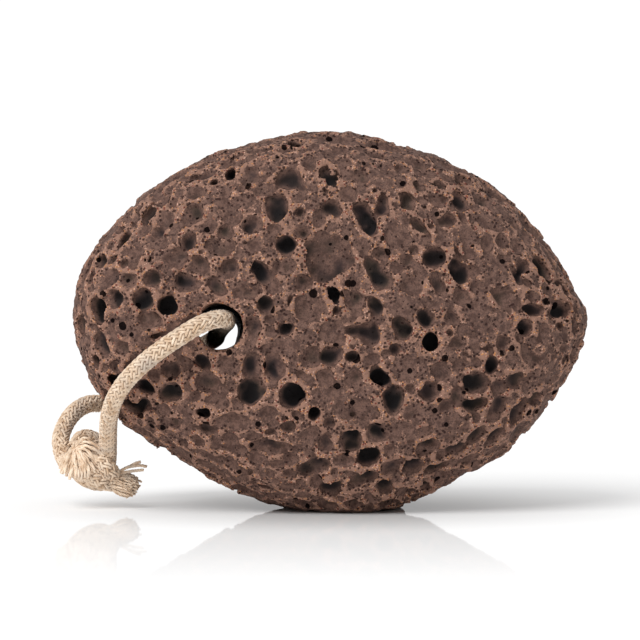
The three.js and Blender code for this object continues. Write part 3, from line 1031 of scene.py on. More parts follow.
@dataclass
class LavaStone:
    """The stone: an egg ground from vesicular lava, with a bore for the cord.

    Sizes are in millimetres.

    Attributes:
        node: The CAD node that it stands for.
        camera: The camera that the front's own bubbles are laid out for.
        bore: The drilled way for the cord.
        finish: The stone's finish.
        step: The distance between the fine block's samples.
        blank_step: The distance between the coarse block's samples.
        margins: The room round the solid in the fine and the coarse block.
        mend: How wide a hollow the blank closes, as a half width.
        band: The samples on each side of the skin that hold its distance.
        triangles: The most triangles that the finished mesh has.
        seed: The seed of everything random.
        wall_warp: The noise in the bubbles' walls, as grain and height.
        skin_rough: The noise in the skin, as grain and height.
        rounding: How widely a bubble's rim is rounded.
        classes: The scattered bubbles, from the widest.
        facing: How much of the way in points back where the front begins.
        front_most: The widest scattered bubble on the front.
        back_bowls: The share of open bowls on the back.
        clear: The room kept free round the bore and above the foot.
        backing: How far in, and how deep, there has to be stone behind a bubble.
        drilled: The bubbles that the drill cut open.
        reaches: The reach of the near and the wide openness.
    """

    node: str = "pumice_stone"
    camera: StudioCamera = field(default_factory=StudioCamera)
    bore: Bore = field(default_factory=Bore)
    finish: LavaFinish = field(default_factory=LavaFinish)
    step: float = 0.3
    blank_step: float = 0.75
    margins: Pair = (1.8, 6.0)
    mend: float = 4.6
    band: int = 21
    triangles: int = 196000
    seed: int = 7
    wall_warp: tuple[Pair, ...] = ((3.2, 0.7), (1.6, 0.42), (0.8, 0.2))
    skin_rough: tuple[Pair, ...] = ((4.5, 0.34), (1.6, 0.24), (0.75, 0.16))
    rounding: float = 0.18
    classes: tuple[SizeClass, ...] = (
        SizeClass(2.2, 3.1, 700), SizeClass(1.3, 2.2, 5000), SizeClass(0.95, 1.5, 9000),
        SizeClass(0.9, 2.2, 12000, True), SizeClass(0.6, 1.0, 9000), SizeClass(0.4, 0.6, 16000),
    )
    facing: float = 0.35
    front_most: float = 1.9
    back_bowls: float = 0.65
    clear: Pair = (0.6, 0.8)
    backing: Pair = (3.2, 2.0)
    drilled: int = 46
    reaches: Pair = (0.9, 2.1)

    def __post_init__(self) -> None:
        """Prepares the block and the random source."""
        self.rng = np.random.default_rng(self.seed)
        low, high = (np.array(corner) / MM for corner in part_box(self.node))
        self.block = VoxelBlock.around(low, high, self.margins[0], self.step)
        self.blank_block = VoxelBlock.around(low, high, self.margins[1], self.blank_step)

    def blank(self) -> np.ndarray:
        """The distance to the stone's skin with its widest bubbles filled up.

        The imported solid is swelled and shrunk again, which closes its bubbles
        and its bore and leaves the rest of its skin where it is.

        Returns:
            The distance over the coarse block, negative inside.
        """
        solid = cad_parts[self.node].data
        solid.calc_loop_triangles()
        corners = np.empty(3 * len(solid.loop_triangles), dtype=np.int32)
        solid.loop_triangles.foreach_get("vertices", corners)
        room = openvdb.createLinearTransform(voxelSize=self.blank_step)
        swell = math.ceil(self.mend / self.blank_step) + 2
        grid = openvdb.FloatGrid.createLevelSetFromPolygons(
            mesh_points(solid), triangles=corners.reshape(-1, 3).astype(np.uint32),
            transform=room, halfWidth=swell)
        points, quads = grid.convertToQuads(isovalue=self.mend)
        grid = openvdb.FloatGrid.createLevelSetFromPolygons(
            points, quads=quads, transform=room, halfWidth=self.band)
        self.skin, _ = grid.convertToQuads(isovalue=-self.mend)
        values = np.empty(self.blank_block.shape, dtype=np.float32)
        first = np.round(self.blank_block.low / self.blank_step).astype(int)
        grid.copyToArray(values, tuple(int(n) for n in first))
        return values + np.float32(self.mend)

    def inward(self, blank: np.ndarray, points: np.ndarray) -> np.ndarray:
        """Works out the direction into the stone.

        Args:
            blank: The skin's distance over the coarse block.
            points: Places on the skin, one in each row.

        Returns:
            The unit direction at each place.
        """
        gap = 2.0 * self.blank_step
        slope = np.stack([
            self.blank_block.sample(blank, points + gap * side)
            - self.blank_block.sample(blank, points - gap * side) for side in np.eye(3)
        ], axis=1)
        return -slope / np.maximum(np.linalg.norm(slope, axis=1, keepdims=True), 1e-6)

    def seen_points(self, blank: np.ndarray, places: np.ndarray) -> np.ndarray:
        """Finds where sight lines meet the skin.

        Args:
            blank: The skin's distance over the coarse block.
            places: Where the lines cross the outline's plane, as x and z.

        Returns:
            The points on the skin, one in each row.
        """
        ahead, strides, share = 28.0, 40, 0.9
        eye = self.camera.position
        aims = np.stack([places[:, 0], np.zeros(len(places)), places[:, 1]], axis=1)
        ways = (aims - eye) / np.linalg.norm(aims - eye, axis=1, keepdims=True)
        points = aims - ways * ahead
        for _ in range(strides):
            points = points + ways * self.blank_block.sample(blank, points)[:, None] * share
        return points

    def landmark_vesicles(self, blank: np.ndarray) -> list[Vesicle]:
        """Makes the front face's own bubbles, from the tables.

        Args:
            blank: The skin's distance over the coarse block.

        Returns:
            The bubbles.
        """
        least_depth = 0.5
        made = []
        for kind, rows in ((Kind.BASIN, BASINS), (Kind.BOWL, BOWLS), (Kind.POCKET, POCKETS),
                           (Kind.HOLE, HOLES), (Kind.HOLE, CRACKS)):
            table = np.array(rows)
            points = self.seen_points(blank, table[:, :2])
            inward = self.inward(blank, points)
            sight = points - self.camera.position
            sight = sight / np.linalg.norm(sight, axis=1, keepdims=True)
            ways = 0.55 * inward + 0.45 * sight
            sink, depth = kind.value
            for (long_half, short_half, degrees), point, way in zip(table[:, 2:], points, ways):
                turn = math.radians(degrees)
                axes = turned_axes(np.array([math.cos(turn), 0.0, math.sin(turn)]), way)
                size = min(long_half, short_half)
                radii = np.array([long_half, short_half, max(depth * size, least_depth)])
                made.append(Vesicle(point + axes[2] * sink * size, radii, axes))
        return made

    def scatter(self, blank: np.ndarray, foam: np.ndarray, warp: np.ndarray) -> int:
        """Fills the room between the bubbles with smaller ones, all round.

        Args:
            blank: The skin's distance over the coarse block.
            foam: The bubbles' distance over the fine block, changed in place.
            warp: Noise for the bubbles' walls.

        Returns:
            The number of bubbles made.
        """
        rng = self.rng
        made = 0
        limit = np.array(self.block.shape) - 1
        for size in self.classes:
            points = self.skin[rng.integers(0, len(self.skin), size.tries)].astype(float)
            inward = self.inward(blank, points)
            clear = self.bore.reach(points) > self.bore.radius + self.clear[0]
            clear &= points[:, 2] > self.clear[1]
            behind = self.blank_block.sample(blank, points + self.backing[0] * inward)
            clear &= behind < -self.backing[1]
            draws = rng.uniform(0.0, 1.0, (size.tries, 6))
            for point, way, draw in zip(points[clear], inward[clear], draws[clear]):
                front = way[1] > self.facing and not size.dish
                most = min(size.most, self.front_most) if front else size.most
                if most < size.least:
                    continue
                wall = 0.45 * draw[0] + (-0.4 if size.dish else 0.1)
                place = np.round((point - self.block.low) / self.step)
                i, j, k = np.clip(place, 0, limit).astype(int)
                radius = min(most, float(foam[i, j, k]) - wall)
                if radius < size.least:
                    continue
                made += 1
                self.scattered(point, way, radius, draw, size.dish).carve(
                    foam, self.block, warp, 1.2)
        return made

    def scattered(self, point: np.ndarray, way: np.ndarray, radius: float,
                  draw: np.ndarray, dish: bool) -> Vesicle:
        """Makes one bubble of the scatter, sheared toward the stone's upper right.

        Args:
            point: Its place on the skin.
            way: The direction into the stone.
            radius: Its size.
            draw: Six numbers from 0 to 1 that settle its shape.
            dish: Whether it is a shallow dish.

        Returns:
            The bubble.
        """
        sheared = min(max((point[0] + 1.2 * (point[2] - 35.0)) / 60.0, 0.0), 1.0)
        if draw[2] < 0.35 + sheared:
            turn = math.radians(-60.0 + 40.0 * (draw[1] - 0.5))
        else:
            turn = 2.0 * math.pi * draw[1]
        axes = turned_axes(np.array([math.cos(turn), 0.25, math.sin(turn)]), way)
        length = 1.0 + (0.25 + 0.7 * sheared) * draw[3]
        bowl = dish or abs(way[1]) < self.facing
        bowl = bowl or (way[1] < 0.0 and draw[0] < self.back_bowls)
        sink = 0.0 if bowl else -0.15 + 0.75 * draw[4]
        deep = 0.4 + 0.25 * draw[5] if bowl else 0.55 + 0.8 * draw[5] ** 2
        radii = radius * np.array([length, 1.0, deep])
        return Vesicle(point + way * sink * radius, radii, axes)

    def bore_vesicles(self) -> list[Vesicle]:
        """Makes the bubbles that the drill cut open along the bore.

        Returns:
            The bubbles.
        """
        low = (-19.0, 0.0, 0.6)
        high = (19.0, 2.0 * math.pi, 1.7)
        made = []
        for _ in range(self.drilled):
            along, around, size = self.rng.uniform(low, high)
            side = np.array([math.cos(around), 0.0, math.sin(around)])
            centre = self.bore.middle + along * self.bore.way + side * self.bore.radius
            made.append(Vesicle(centre, np.full(3, size), np.eye(3)))
        return made

    def noise(self, layers: tuple[Pair, ...]) -> np.ndarray:
        """Adds up layers of value noise, given as grain and height."""
        return sum(cloud(self.block, grain, self.rng) * np.float32(height)
                   for grain, height in layers)

    def carved(self) -> tuple[np.ndarray, np.ndarray]:
        """Carves the stone.

        Returns:
            The blank's and the carved stone's distances over the fine block.
        """
        far = 9.0
        slack = 3.4
        coarse = self.blank()
        warp = self.noise(self.wall_warp)
        foam = np.full(self.block.shape, far, dtype=np.float32)
        landmarks = self.landmark_vesicles(coarse) + self.bore_vesicles()
        for vesicle in landmarks:
            vesicle.carve(foam, self.block, warp, slack)
        made = self.scatter(coarse, foam, warp)
        LOG.info("bubbles: %d placed, %d scattered", len(landmarks), made)
        blank = resample(coarse, self.blank_block, self.block)
        stone = blank + self.noise(self.skin_rough) + np.float32(0.1)
        blend = np.float32(self.rounding)
        overlap = np.maximum(blend - np.abs(stone + foam), 0.0) / blend
        stone = np.maximum(stone, -foam) + overlap * overlap * blend * np.float32(0.25)
        np.maximum(stone, self.bore.distance(self.block) + warp * np.float32(0.4), out=stone)
        np.maximum(stone, -self.block.axis(2)[None, None, :], out=stone)
        return blank, stone

    def openness(self, stone: np.ndarray, reach: float) -> np.ndarray:
        """Works out how much empty room there is round every sample.

        Args:
            stone: The carved stone's distance over the fine block.
            reach: The half width of the box that is looked at.

        Returns:
            The share of empty samples in the box.
        """
        span = max(int(round(reach / self.step)), 1)
        share = (stone > 0).astype(np.float32)
        for axis in range(3):
            total = np.cumsum(share, axis=axis, dtype=np.float32)
            ahead = np.roll(total, -span, axis=axis)
            behind = np.roll(total, span + 1, axis=axis)
            share = (ahead - behind) / np.float32(2 * span + 1)
        return share

    def build(self) -> bpy.types.Object:
        """Carves, meshes and dresses the stone.

        Returns:
            The finished piece.
        """
        blank, stone = self.carved()
        grid = openvdb.FloatGrid(3.0)
        grid.copyFromArray(stone)
        points, quads = grid.convertToQuads(isovalue=0.0)
        points, quads = largest_island(points, quads.astype(np.int64))
        points = points * self.step + self.block.low
        mesh = thinned(mesh_from(points * MM, quads[:, ::-1]), self.triangles)
        places = mesh_points(mesh)
        near, wide = (self.block.sample(self.openness(stone, reach), places)
                      for reach in self.reaches)
        ridge = np.clip((near - 0.5) * 2.2 + (wide - 0.5) * 1.6 + 0.35, 0.0, 1.0)
        # Depth below the blank's skin, lessened where the room round is open; the finish paints
        # shade by it.
        depth = -self.block.sample(blank, places) * np.clip((0.62 - wide) / 0.3, 0.3, 1.0)
        for name, values in (("ridge", ridge), ("depth", depth)):
            attribute = mesh.attributes.new(name, "FLOAT", "POINT")
            attribute.data.foreach_set("value", values.astype(np.float32))
        piece = new_piece("stone", mesh, self.finish.build())
        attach(piece, "root")
        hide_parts(self.node)
        LOG.info("stone: %d faces", len(mesh.polygons))
        return piece


# --------------------------------------------------------------------- cord


@dataclass(frozen=True)
class CottonFinish:
    """Undyed cotton yarn. Colours are display levels, grains in millimetres.

    Attributes:
        light: The lightest yarns' tint.
        warm: The warmest yarns' tint.
        grey: The tint of greyer patches.
        shade: The painted shade where a yarn sinks under the others, also used for the fibres'
            darker grain.
        fibre: The grain of the fibres.
        tuft: The grain of the change from light to warm.
        patch: The grain of the grey patches.
        roughness: The shader's roughness.
        gloss: Its specular level.
        sheen: The weight of its sheen.
        sheen_roughness: The sheen's roughness.
        bump_reach: The bump's height.
    """

    light: Tint = (246, 225, 201)
    warm: Tint = (206, 173, 140)
    grey: Tint = (208, 190, 172)
    shade: Tint = (122, 88, 60)
    fibre: float = 0.16
    tuft: float = 1.3
    patch: float = 5.0
    roughness: float = 0.92
    gloss: float = 0.15
    sheen: float = 0.25
    sheen_roughness: float = 0.6
    bump_reach: float = 0.12

    def colour(self, bench: NodeBench, place: Value, fibres: Value) -> bpy.types.NodeSocket:
        """Builds the yarns' colour: painted shade where a yarn sinks under the others, and darker
        grain along the fibres.

        Args:
            bench: The material's tree.
            place: Object coordinates.
            fibres: Fine noise.

        Returns:
            The colour.
        """
        patch = bench.noise(place, self.patch)
        tuft = bench.ramp(bench.noise(place, self.tuft), 0.38, 0.62)
        tone = bench.math("MULTIPLY_ADD", bench.attribute("strand"), 0.5,
                          bench.math("MULTIPLY", tuft, 0.5))
        colour = bench.mix(tone, srgb(self.light), srgb(self.warm))
        colour = bench.mix(bench.ramp(patch, 0.5, 0.75), colour, srgb(self.grey))
        # Painted shade where a yarn sinks under the others, mixed with the fibres' darker grain.
        grain_and_shade = bench.math("MULTIPLY_ADD", fibres, 0.9, bench.attribute("sunk"))
        return bench.mix(bench.ramp(grain_and_shade, 0.55, 1.15, 0.0, 0.9), colour, srgb(self.shade))

    def build(self) -> bpy.types.Material:
        """Makes the material.

        Returns:
            The material, which reads the yarns' strand and sunk attributes.
        """
        material, bench, shader = started("undyed_cotton")
        place = bench.place()
        fibres = bench.noise(place, self.fibre, 3.0, 0.7)
        bench.feed(shader.inputs["Base Color"], self.colour(bench, place, fibres))
        shader.inputs["Roughness"].default_value = self.roughness
        shader.inputs["Specular IOR Level"].default_value = self.gloss
        shader.inputs["Sheen Weight"].default_value = self.sheen
        shader.inputs["Sheen Roughness"].default_value = self.sheen_roughness
        bench.bump(shader, fibres, 0.6, self.bump_reach)
        return material


@dataclass(frozen=True)
class Lay:
    """How yarns lie round a centreline. Lengths are in millimetres.

    Attributes:
        carriers: The strands that turn each way.
        yarns: The yarns side by side in one strand.
        ways: 2 for a braid, 1 for a twist.
        radius: From the centreline to a yarn's middle.
        yarn: A yarn's radius.
        pitch: The length of one whole turn.
        lift: How far a strand rises and sinks as it crosses the others.
        step: The length of one piece of yarn.
        sides: The sides of a yarn's section.
        stray: How far yarns wander.
    """

    carriers: int
    yarns: int
    ways: int
    radius: float
    yarn: float
    pitch: float
    lift: float
    step: float
    sides: int
    stray: float


class YarnTree:
    """Geometry Nodes that lay yarns round a curve, braided or twisted.

    Attributes:
        LENGTHS: The inputs that are lengths.
        COUNTS: The inputs that are counts.
        GAP: From yarn to yarn in one strand, in yarn radii.
        FLAT: How long a strand stays at its highest and lowest.
        WANDER: The length over which yarns wander, in millimetres.
    """

    LENGTHS = ("radius", "yarn", "pitch", "lift", "step", "stray")
    COUNTS = ("carriers", "yarns", "ways", "sides")
    GAP = 2.35
    FLAT = 1.5
    WANDER = 2.2

    def __init__(self, name: str, material: bpy.types.Material) -> None:
        """Builds the tree once, for every piece that is made of yarn.

        Args:
            name: The tree's name.
            material: The yarns' finish.
        """
        self.material = material
        self.tree = bpy.data.node_groups.new(name, "GeometryNodeTree")
        self.bench = NodeBench(self.tree)
        self.build()

    def sockets(self) -> bpy.types.Node:
        """Returns:
            The node that the inputs come from.
        """
        interface = self.tree.interface
        interface.new_socket("Centreline", in_out="INPUT", socket_type="NodeSocketGeometry")
        for name in self.LENGTHS:
            interface.new_socket(name, in_out="INPUT", socket_type="NodeSocketFloat")
        for name in self.COUNTS:
            interface.new_socket(name, in_out="INPUT", socket_type="NodeSocketInt")
        interface.new_socket("Yarns", in_out="OUTPUT", socket_type="NodeSocketGeometry")
        return self.bench.add("NodeGroupInput")

    def numbering(self, given: dict, index: Value) -> dict:
        """Splits a copy's number.

        Args:
            given: The tree's inputs by name.
            index: The copy's number.

        Returns:
            Which way it turns, as 1 or -1, and its carrier and yarn number.
        """
        math_node = self.bench.math
        way = math_node("MODULO", index, given["ways"])
        rest = math_node("FLOOR", math_node("DIVIDE", index, given["ways"]))
        return {
            "sense": math_node("MULTIPLY_ADD", way, -2.0, 1.0),
            "carrier": math_node("MODULO", rest, given["carriers"]),
            "yarn": math_node("FLOOR", math_node("DIVIDE", rest, given["carriers"])),
        }

    def places(self, given: dict, number: dict, along: Value) -> tuple[Value, Value]:
        """Works out a yarn's angle and height at a length along the centreline.

        Args:
            given: The tree's inputs by name.
            number: The copy's sense, carrier and yarn number.
            along: The length along the centreline.

        Returns:
            The angle, and the share of the lift from -1 to 1.
        """
        math_node = self.bench.math
        turns = math_node("DIVIDE", along, given["pitch"])
        own = math_node("DIVIDE", number["carrier"], given["carriers"])
        turn = math_node("MULTIPLY_ADD", turns, number["sense"], own)
        middle = math_node("MULTIPLY", math_node("SUBTRACT", given["yarns"], 1.0), 0.5)
        beside = math_node("MULTIPLY", math_node("SUBTRACT", number["yarn"], middle), self.GAP)
        beside = math_node("DIVIDE", math_node("MULTIPLY", beside, given["yarn"]), given["radius"])
        angle = math_node("MULTIPLY_ADD", turn, 2.0 * math.pi, beside)
        crossings = math_node("MULTIPLY", math_node("MULTIPLY", turns, given["carriers"]), math.pi)
        phase = math_node("MULTIPLY_ADD", crossings, number["sense"],
                          math_node("MULTIPLY_ADD", number["carrier"], math.pi, 0.25 * math.pi))
        wave = math_node("MULTIPLY", math_node("SINE", phase), self.FLAT)
        wave = math_node("MAXIMUM", math_node("MINIMUM", wave, 1.0), -1.0)
        return angle, math_node("MULTIPLY", wave, number["sense"])

    def offset(self, angle: Value, height: Value) -> bpy.types.NodeSocket:
        """Works out a yarn's step away from the centreline.

        Args:
            angle: The angle round the centreline.
            height: The distance from it.

        Returns:
            The step.
        """
        bench = self.bench
        normal = bench.add("GeometryNodeInputNormal").outputs[0]
        tangent = bench.add("GeometryNodeInputTangent").outputs[0]
        side = bench.add("ShaderNodeVectorMath", {0: tangent, 1: normal}, operation="CROSS_PRODUCT")
        parts = []
        for axis, wave in ((normal, "COSINE"), (side.outputs[0], "SINE")):
            size = bench.math("MULTIPLY", bench.math(wave, angle), height)
            part = bench.add("ShaderNodeVectorMath", {0: axis, "Scale": size}, operation="SCALE")
            parts.append(part.outputs[0])
        return bench.add("ShaderNodeVectorMath", {0: parts[0], 1: parts[1]}).outputs[0]

    def build(self) -> None:
        """Joins the whole tree."""
        bench = self.bench
        start = self.sockets()
        given = {socket.name: socket for socket in start.outputs if socket.name}
        curve = bench.add("GeometryNodeResampleCurve", {
            "Curve": given["Centreline"], "Length": given["step"]}, mode="LENGTH")
        amount = bench.math("MULTIPLY", bench.math(
            "MULTIPLY", given["carriers"], given["yarns"]), given["ways"])
        copies = bench.add("GeometryNodeDuplicateElements", {
            "Geometry": curve.outputs[0], "Amount": amount}, domain="SPLINE")
        index = copies.outputs["Duplicate Index"]
        along = bench.add("GeometryNodeSplineParameter").outputs["Length"]
        angle, wave = self.places(given, self.numbering(given, index), along)
        stray = bench.add("ShaderNodeTexNoise", {
            "Vector": bench.add("GeometryNodeInputPosition").outputs[0], "W": index,
            "Scale": 1.0 / (self.WANDER * MM), "Detail": 1.0}, noise_dimensions="4D").outputs[0]
        wander = bench.math("MULTIPLY", bench.math("SUBTRACT", stray, 0.5), given["stray"])
        height = bench.math("ADD", bench.math("MULTIPLY_ADD", wave, given["lift"],
                                              given["radius"]), wander)
        strand = bench.math("FRACT", bench.math("MULTIPLY", index, 0.618))
        geometry = copies.outputs["Geometry"]
        # How far a yarn has sunk under the others, which the finish paints as shade.
        low = bench.math("MULTIPLY", bench.math("MULTIPLY_ADD", wave, -0.5, 0.5),
                         bench.math("GREATER_THAN", given["lift"], 0.01 * MM))
        for name, value in (("strand", strand), ("sunk", low)):
            stored = bench.add("GeometryNodeStoreNamedAttribute", {
                "Geometry": geometry, "Name": name, "Value": value}, data_type="FLOAT",
                domain="POINT")
            geometry = stored.outputs[0]
        moved = bench.add("GeometryNodeSetPosition", {
            "Geometry": geometry, "Offset": self.offset(angle, height)})
        section = bench.add("GeometryNodeCurvePrimitiveCircle", {
            "Resolution": given["sides"], "Radius": given["yarn"]})
        tube = bench.add("GeometryNodeCurveToMesh", {
            "Curve": moved.outputs[0], "Profile Curve": section.outputs["Curve"],
            "Fill Caps": True})
        whole = bench.add("GeometryNodeRealizeInstances", {"Geometry": tube.outputs[0]})
        dressed = bench.add("GeometryNodeSetMaterial", {
            "Geometry": whole.outputs[0], "Material": self.material})
        end = bench.add("NodeGroupOutput")
        bench.feed(end.inputs[0], dressed.outputs[0])

    def spin(self, name: str, lines: list[np.ndarray], lay: Lay) -> bpy.types.Object:
        """Lays yarns round centrelines.

        Args:
            name: The piece's name.
            lines: Each centreline's points, in millimetres.
            lay: How the yarns lie.

        Returns:
            The finished piece, a plain mesh.
        """
        curve = bpy.data.curves.new(name, "CURVE")
        curve.dimensions = "3D"
        for line in lines:
            spline = curve.splines.new("POLY")
            spline.points.add(len(line) - 1)
            rows = np.concatenate([line * MM, np.ones((len(line), 1))], axis=1)
            spline.points.foreach_set("co", rows.astype(np.float32).ravel())
        draft = bpy.data.objects.new(name, curve)
        bpy.context.scene.collection.objects.link(draft)
        modifier = draft.modifiers.new("yarns", "NODES")
        modifier.node_group = self.tree
        for item in self.tree.interface.items_tree:
            if item.in_out == "INPUT" and item.name in self.LENGTHS:
                modifier[item.identifier] = getattr(lay, item.name) * MM
            elif item.in_out == "INPUT" and item.name in self.COUNTS:
                modifier[item.identifier] = getattr(lay, item.name)
        return new_piece(name, baked(draft), self.material)


def smooth_line(points: tuple[Triple, ...], spacing: float) -> np.ndarray:
    """Runs a centripetal Catmull-Rom curve through points.

    Args:
        points: The points, in millimetres.
        spacing: About how far apart the curve's own points are.

    Returns:
        The curve's points, one in each row.
    """
    given = np.array(points)
    given = np.vstack([2 * given[0] - given[1], given, 2 * given[-1] - given[-2]])
    knots = np.concatenate([[0.0], np.cumsum(np.sqrt(
        np.linalg.norm(np.diff(given, axis=0), axis=1)))])
    rows = []
    for i in range(1, len(given) - 2):
        count = max(int(np.linalg.norm(given[i + 1] - given[i]) / spacing), 2)
        t = np.linspace(knots[i], knots[i + 1], count, endpoint=False)[:, None]
        at = knots[i - 1:i + 3]
        level = list(given[i - 1:i + 3])
        for starts, ends in ((at[:3], at[1:]), (at[:2], at[2:]), (at[1:2], at[2:3])):
            level = [
                ((end - t) * low + (t - start) * high) / (end - start)
                for start, end, low, high in zip(starts, ends, level, level[1:])
            ]
        rows.append(level[0])
    return np.vstack([*rows, given[-2:-1]])


@dataclass
class CottonCord:
    """The braided cord, its knot and its two frayed ends, in millimetres.

    Attributes:
        diameter: The cord's diameter; it is not used.
        braid: How the cord's own yarns lie.
        knot_braid: How they lie in the knot, where it is pulled tight.
        core_braid: The fat braid that fills the knot.
        ply: The single threads that stick out.
        fat_ply: The yarns of the left end.
        fine_ply: The yarns of the right end.
        seed: The seed of everything random.
        route: The cord's centreline, from the knot round and back to it.
        turns: The knot's turns, one centreline each.
        core: The centreline of the knot's filling.
        fan_root: Where the left end's yarns come out.
        fan_yarns: The number of yarns in its fan.
        fan_sweep: The fan's first angle and its whole angle, in degrees.
        curls: The left end's curled yarns, as tip and bow.
        brush_yarns: The number of yarns in the right end's brush.
        brush_root: Where the brush comes out of the knot.
        thread_root: Where the single threads come out.
        threads: The single threads, as tip and bow.
    """

    diameter: float = 3.4
    braid: Lay = Lay(8, 2, 2, 1.3, 0.25, 11.2, 0.14, 0.4, 6, 0.12)
    knot_braid: Lay = Lay(8, 2, 2, 1.24, 0.25, 10.4, 0.15, 0.4, 6, 0.2)
    core_braid: Lay = Lay(12, 2, 2, 2.7, 0.3, 24.0, 0.16, 0.5, 5, 0.3)
    ply: Lay = Lay(3, 1, 1, 0.15, 0.165, 1.7, 0.0, 0.24, 5, 0.04)
    fat_ply: Lay = Lay(2, 1, 1, 0.12, 0.22, 3.4, 0.0, 0.28, 7, 0.02)
    fine_ply: Lay = Lay(2, 1, 1, 0.1, 0.125, 1.3, 0.0, 0.26, 5, 0.05)
    seed: int = 3
    route: tuple[Triple, ...] = (
        (-41.2, -0.6, 6.4), (-40.9, -1.9, 9.2), (-40.7, -4.8, 11.9), (-40.5, -8.9, 15.0),
        (-40.0, -13.4, 18.2), (-38.8, -17.2, 21.5), (-36.7, -20.0, 24.7), (-33.7, -22.3, 27.8),
        (-30.3, -23.8, 30.6), (-26.9, -24.5, 32.9), (-23.8, -24.3, 34.8), (-21.1, -22.8, 35.8),
        (-19.3, -20.0, 35.9), (-18.7, -15.8, 35.3), (-19.3, -9.0, 34.3), (-20.2, 0.0, 33.0),
        (-21.0, 9.0, 31.5), (-21.3, 14.8, 30.6), (-21.9, 19.2, 29.9), (-23.6, 22.5, 28.8),
        (-26.2, 24.1, 27.4), (-29.2, 24.3, 25.8), (-32.4, 23.1, 23.8), (-35.7, 20.8, 21.4),
        (-39.1, 17.5, 19.3), (-42.3, 14.0, 18.3), (-45.1, 10.9, 18.3), (-47.4, 8.2, 17.1),
        (-49.0, 5.9, 15.0), (-49.8, 4.0, 12.7), (-49.6, 2.5, 10.3), (-48.7, 1.3, 8.3),
    )
    turns: tuple[tuple[Triple, ...], ...] = (
        ((-48.9, 1.0, 8.6), (-47.4, -2.0, 8.2), (-44.6, -3.7, 6.9), (-41.9, -3.2, 5.2),
         (-40.2, -1.2, 4.6)),
        ((-41.6, 0.4, 8.2), (-42.2, 2.0, 10.6), (-43.8, 2.2, 12.4), (-45.6, 1.2, 12.7),
         (-47.0, -0.8, 10.8)),
        ((-47.4, 1.6, 7.4), (-45.2, 0.6, 5.4), (-42.4, 0.4, 4.6), (-40.0, 1.4, 5.6)),
        ((-44.8, -2.2, 10.2), (-42.6, -3.7, 9.3), (-40.6, -3.9, 7.5), (-39.8, -2.4, 5.6)),
    )
    core: tuple[Triple, ...] = ((-46.6, -0.2, 9.0), (-44.2, -0.6, 7.4), (-41.9, -0.4, 5.9))
    fan_root: Triple = (-47.0, -3.0, 11.0)
    fan_yarns: int = 20
    fan_sweep: Pair = (-128.0, 104.0)
    curls: tuple[tuple[Triple, Triple], ...] = (
        ((-42.2, -4.4, 10.7), (0.2, -0.9, 1.5)), ((-41.5, -4.9, 9.9), (0.0, -0.9, 1.0)),
        ((-44.0, -4.0, 12.9), (0.0, -0.9, 0.9)), ((-45.8, -3.4, 13.9), (-0.7, -0.8, 0.5)),
        ((-42.9, -5.0, 9.0), (0.1, -0.9, 1.3)),
    )
    brush_yarns: int = 120
    brush_root: Triple = (-40.9, -1.3, 5.4)
    thread_root: Triple = (-39.6, -2.0, 6.2)
    threads: tuple[tuple[Triple, Triple], ...] = (
        ((-34.9, -2.6, 8.6), (0.0, -0.2, 0.25)), ((-33.7, -3.0, 7.8), (0.0, -0.2, 0.75)),
        ((-34.3, -3.3, 7.2), (0.1, -0.2, 0.25)),
    )

    def __post_init__(self) -> None:
        """Prepares the material, the yarn tree and the random source."""
        self.rng = np.random.default_rng(self.seed)
        self.material = CottonFinish().build()
        self.tree = YarnTree("laid_yarns", self.material)

    def dress(self, piece: bpy.types.Object, *nodes: str) -> bpy.types.Object:
        """Gives a piece its body and hides the CAD nodes that it stands for.

        Args:
            piece: The piece.
            nodes: The CAD nodes that it replaces.

        Returns:
            The same piece.
        """
        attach(piece, "root")
        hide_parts(*nodes)
        LOG.info("%s: %d faces", piece.name, len(piece.data.polygons))
        return piece

    def knot(self) -> bpy.types.Object:
        """Makes the knot: its turns, and a fat braid that fills it.

        Returns:
            The finished piece.
        """
        spacing = 0.5
        lines = [smooth_line(turn, spacing) for turn in self.turns]
        turns = self.tree.spin("knot", lines, self.knot_braid)
        core = self.tree.spin("knot_core", [smooth_line(self.core, spacing)], self.core_braid)
        return self.dress(joined([turns, core]), "cord_knot")

    def yarn_line(self, root: np.ndarray, tip: np.ndarray, bow: np.ndarray,
                  wiggle: float) -> np.ndarray:
        """Works out one loose yarn's centreline.

        Args:
            root: Where it comes out.
            tip: Where it ends.
            bow: How far its middle is pushed aside.
            wiggle: How crooked it is.

        Returns:
            Its points, all of them above the ground.
        """
        count, lowest, spacing = 6, 0.35, 0.25
        shares = np.linspace(0.0, 1.0, count)[:, None]
        line = root + (tip - root) * shares + bow * 4.0 * shares * (1.0 - shares)
        line[1:] += self.rng.normal(0.0, wiggle, (count - 1, 3))
        line[:, 2] = np.maximum(line[:, 2], lowest)
        return smooth_line(tuple(map(tuple, line)), spacing)

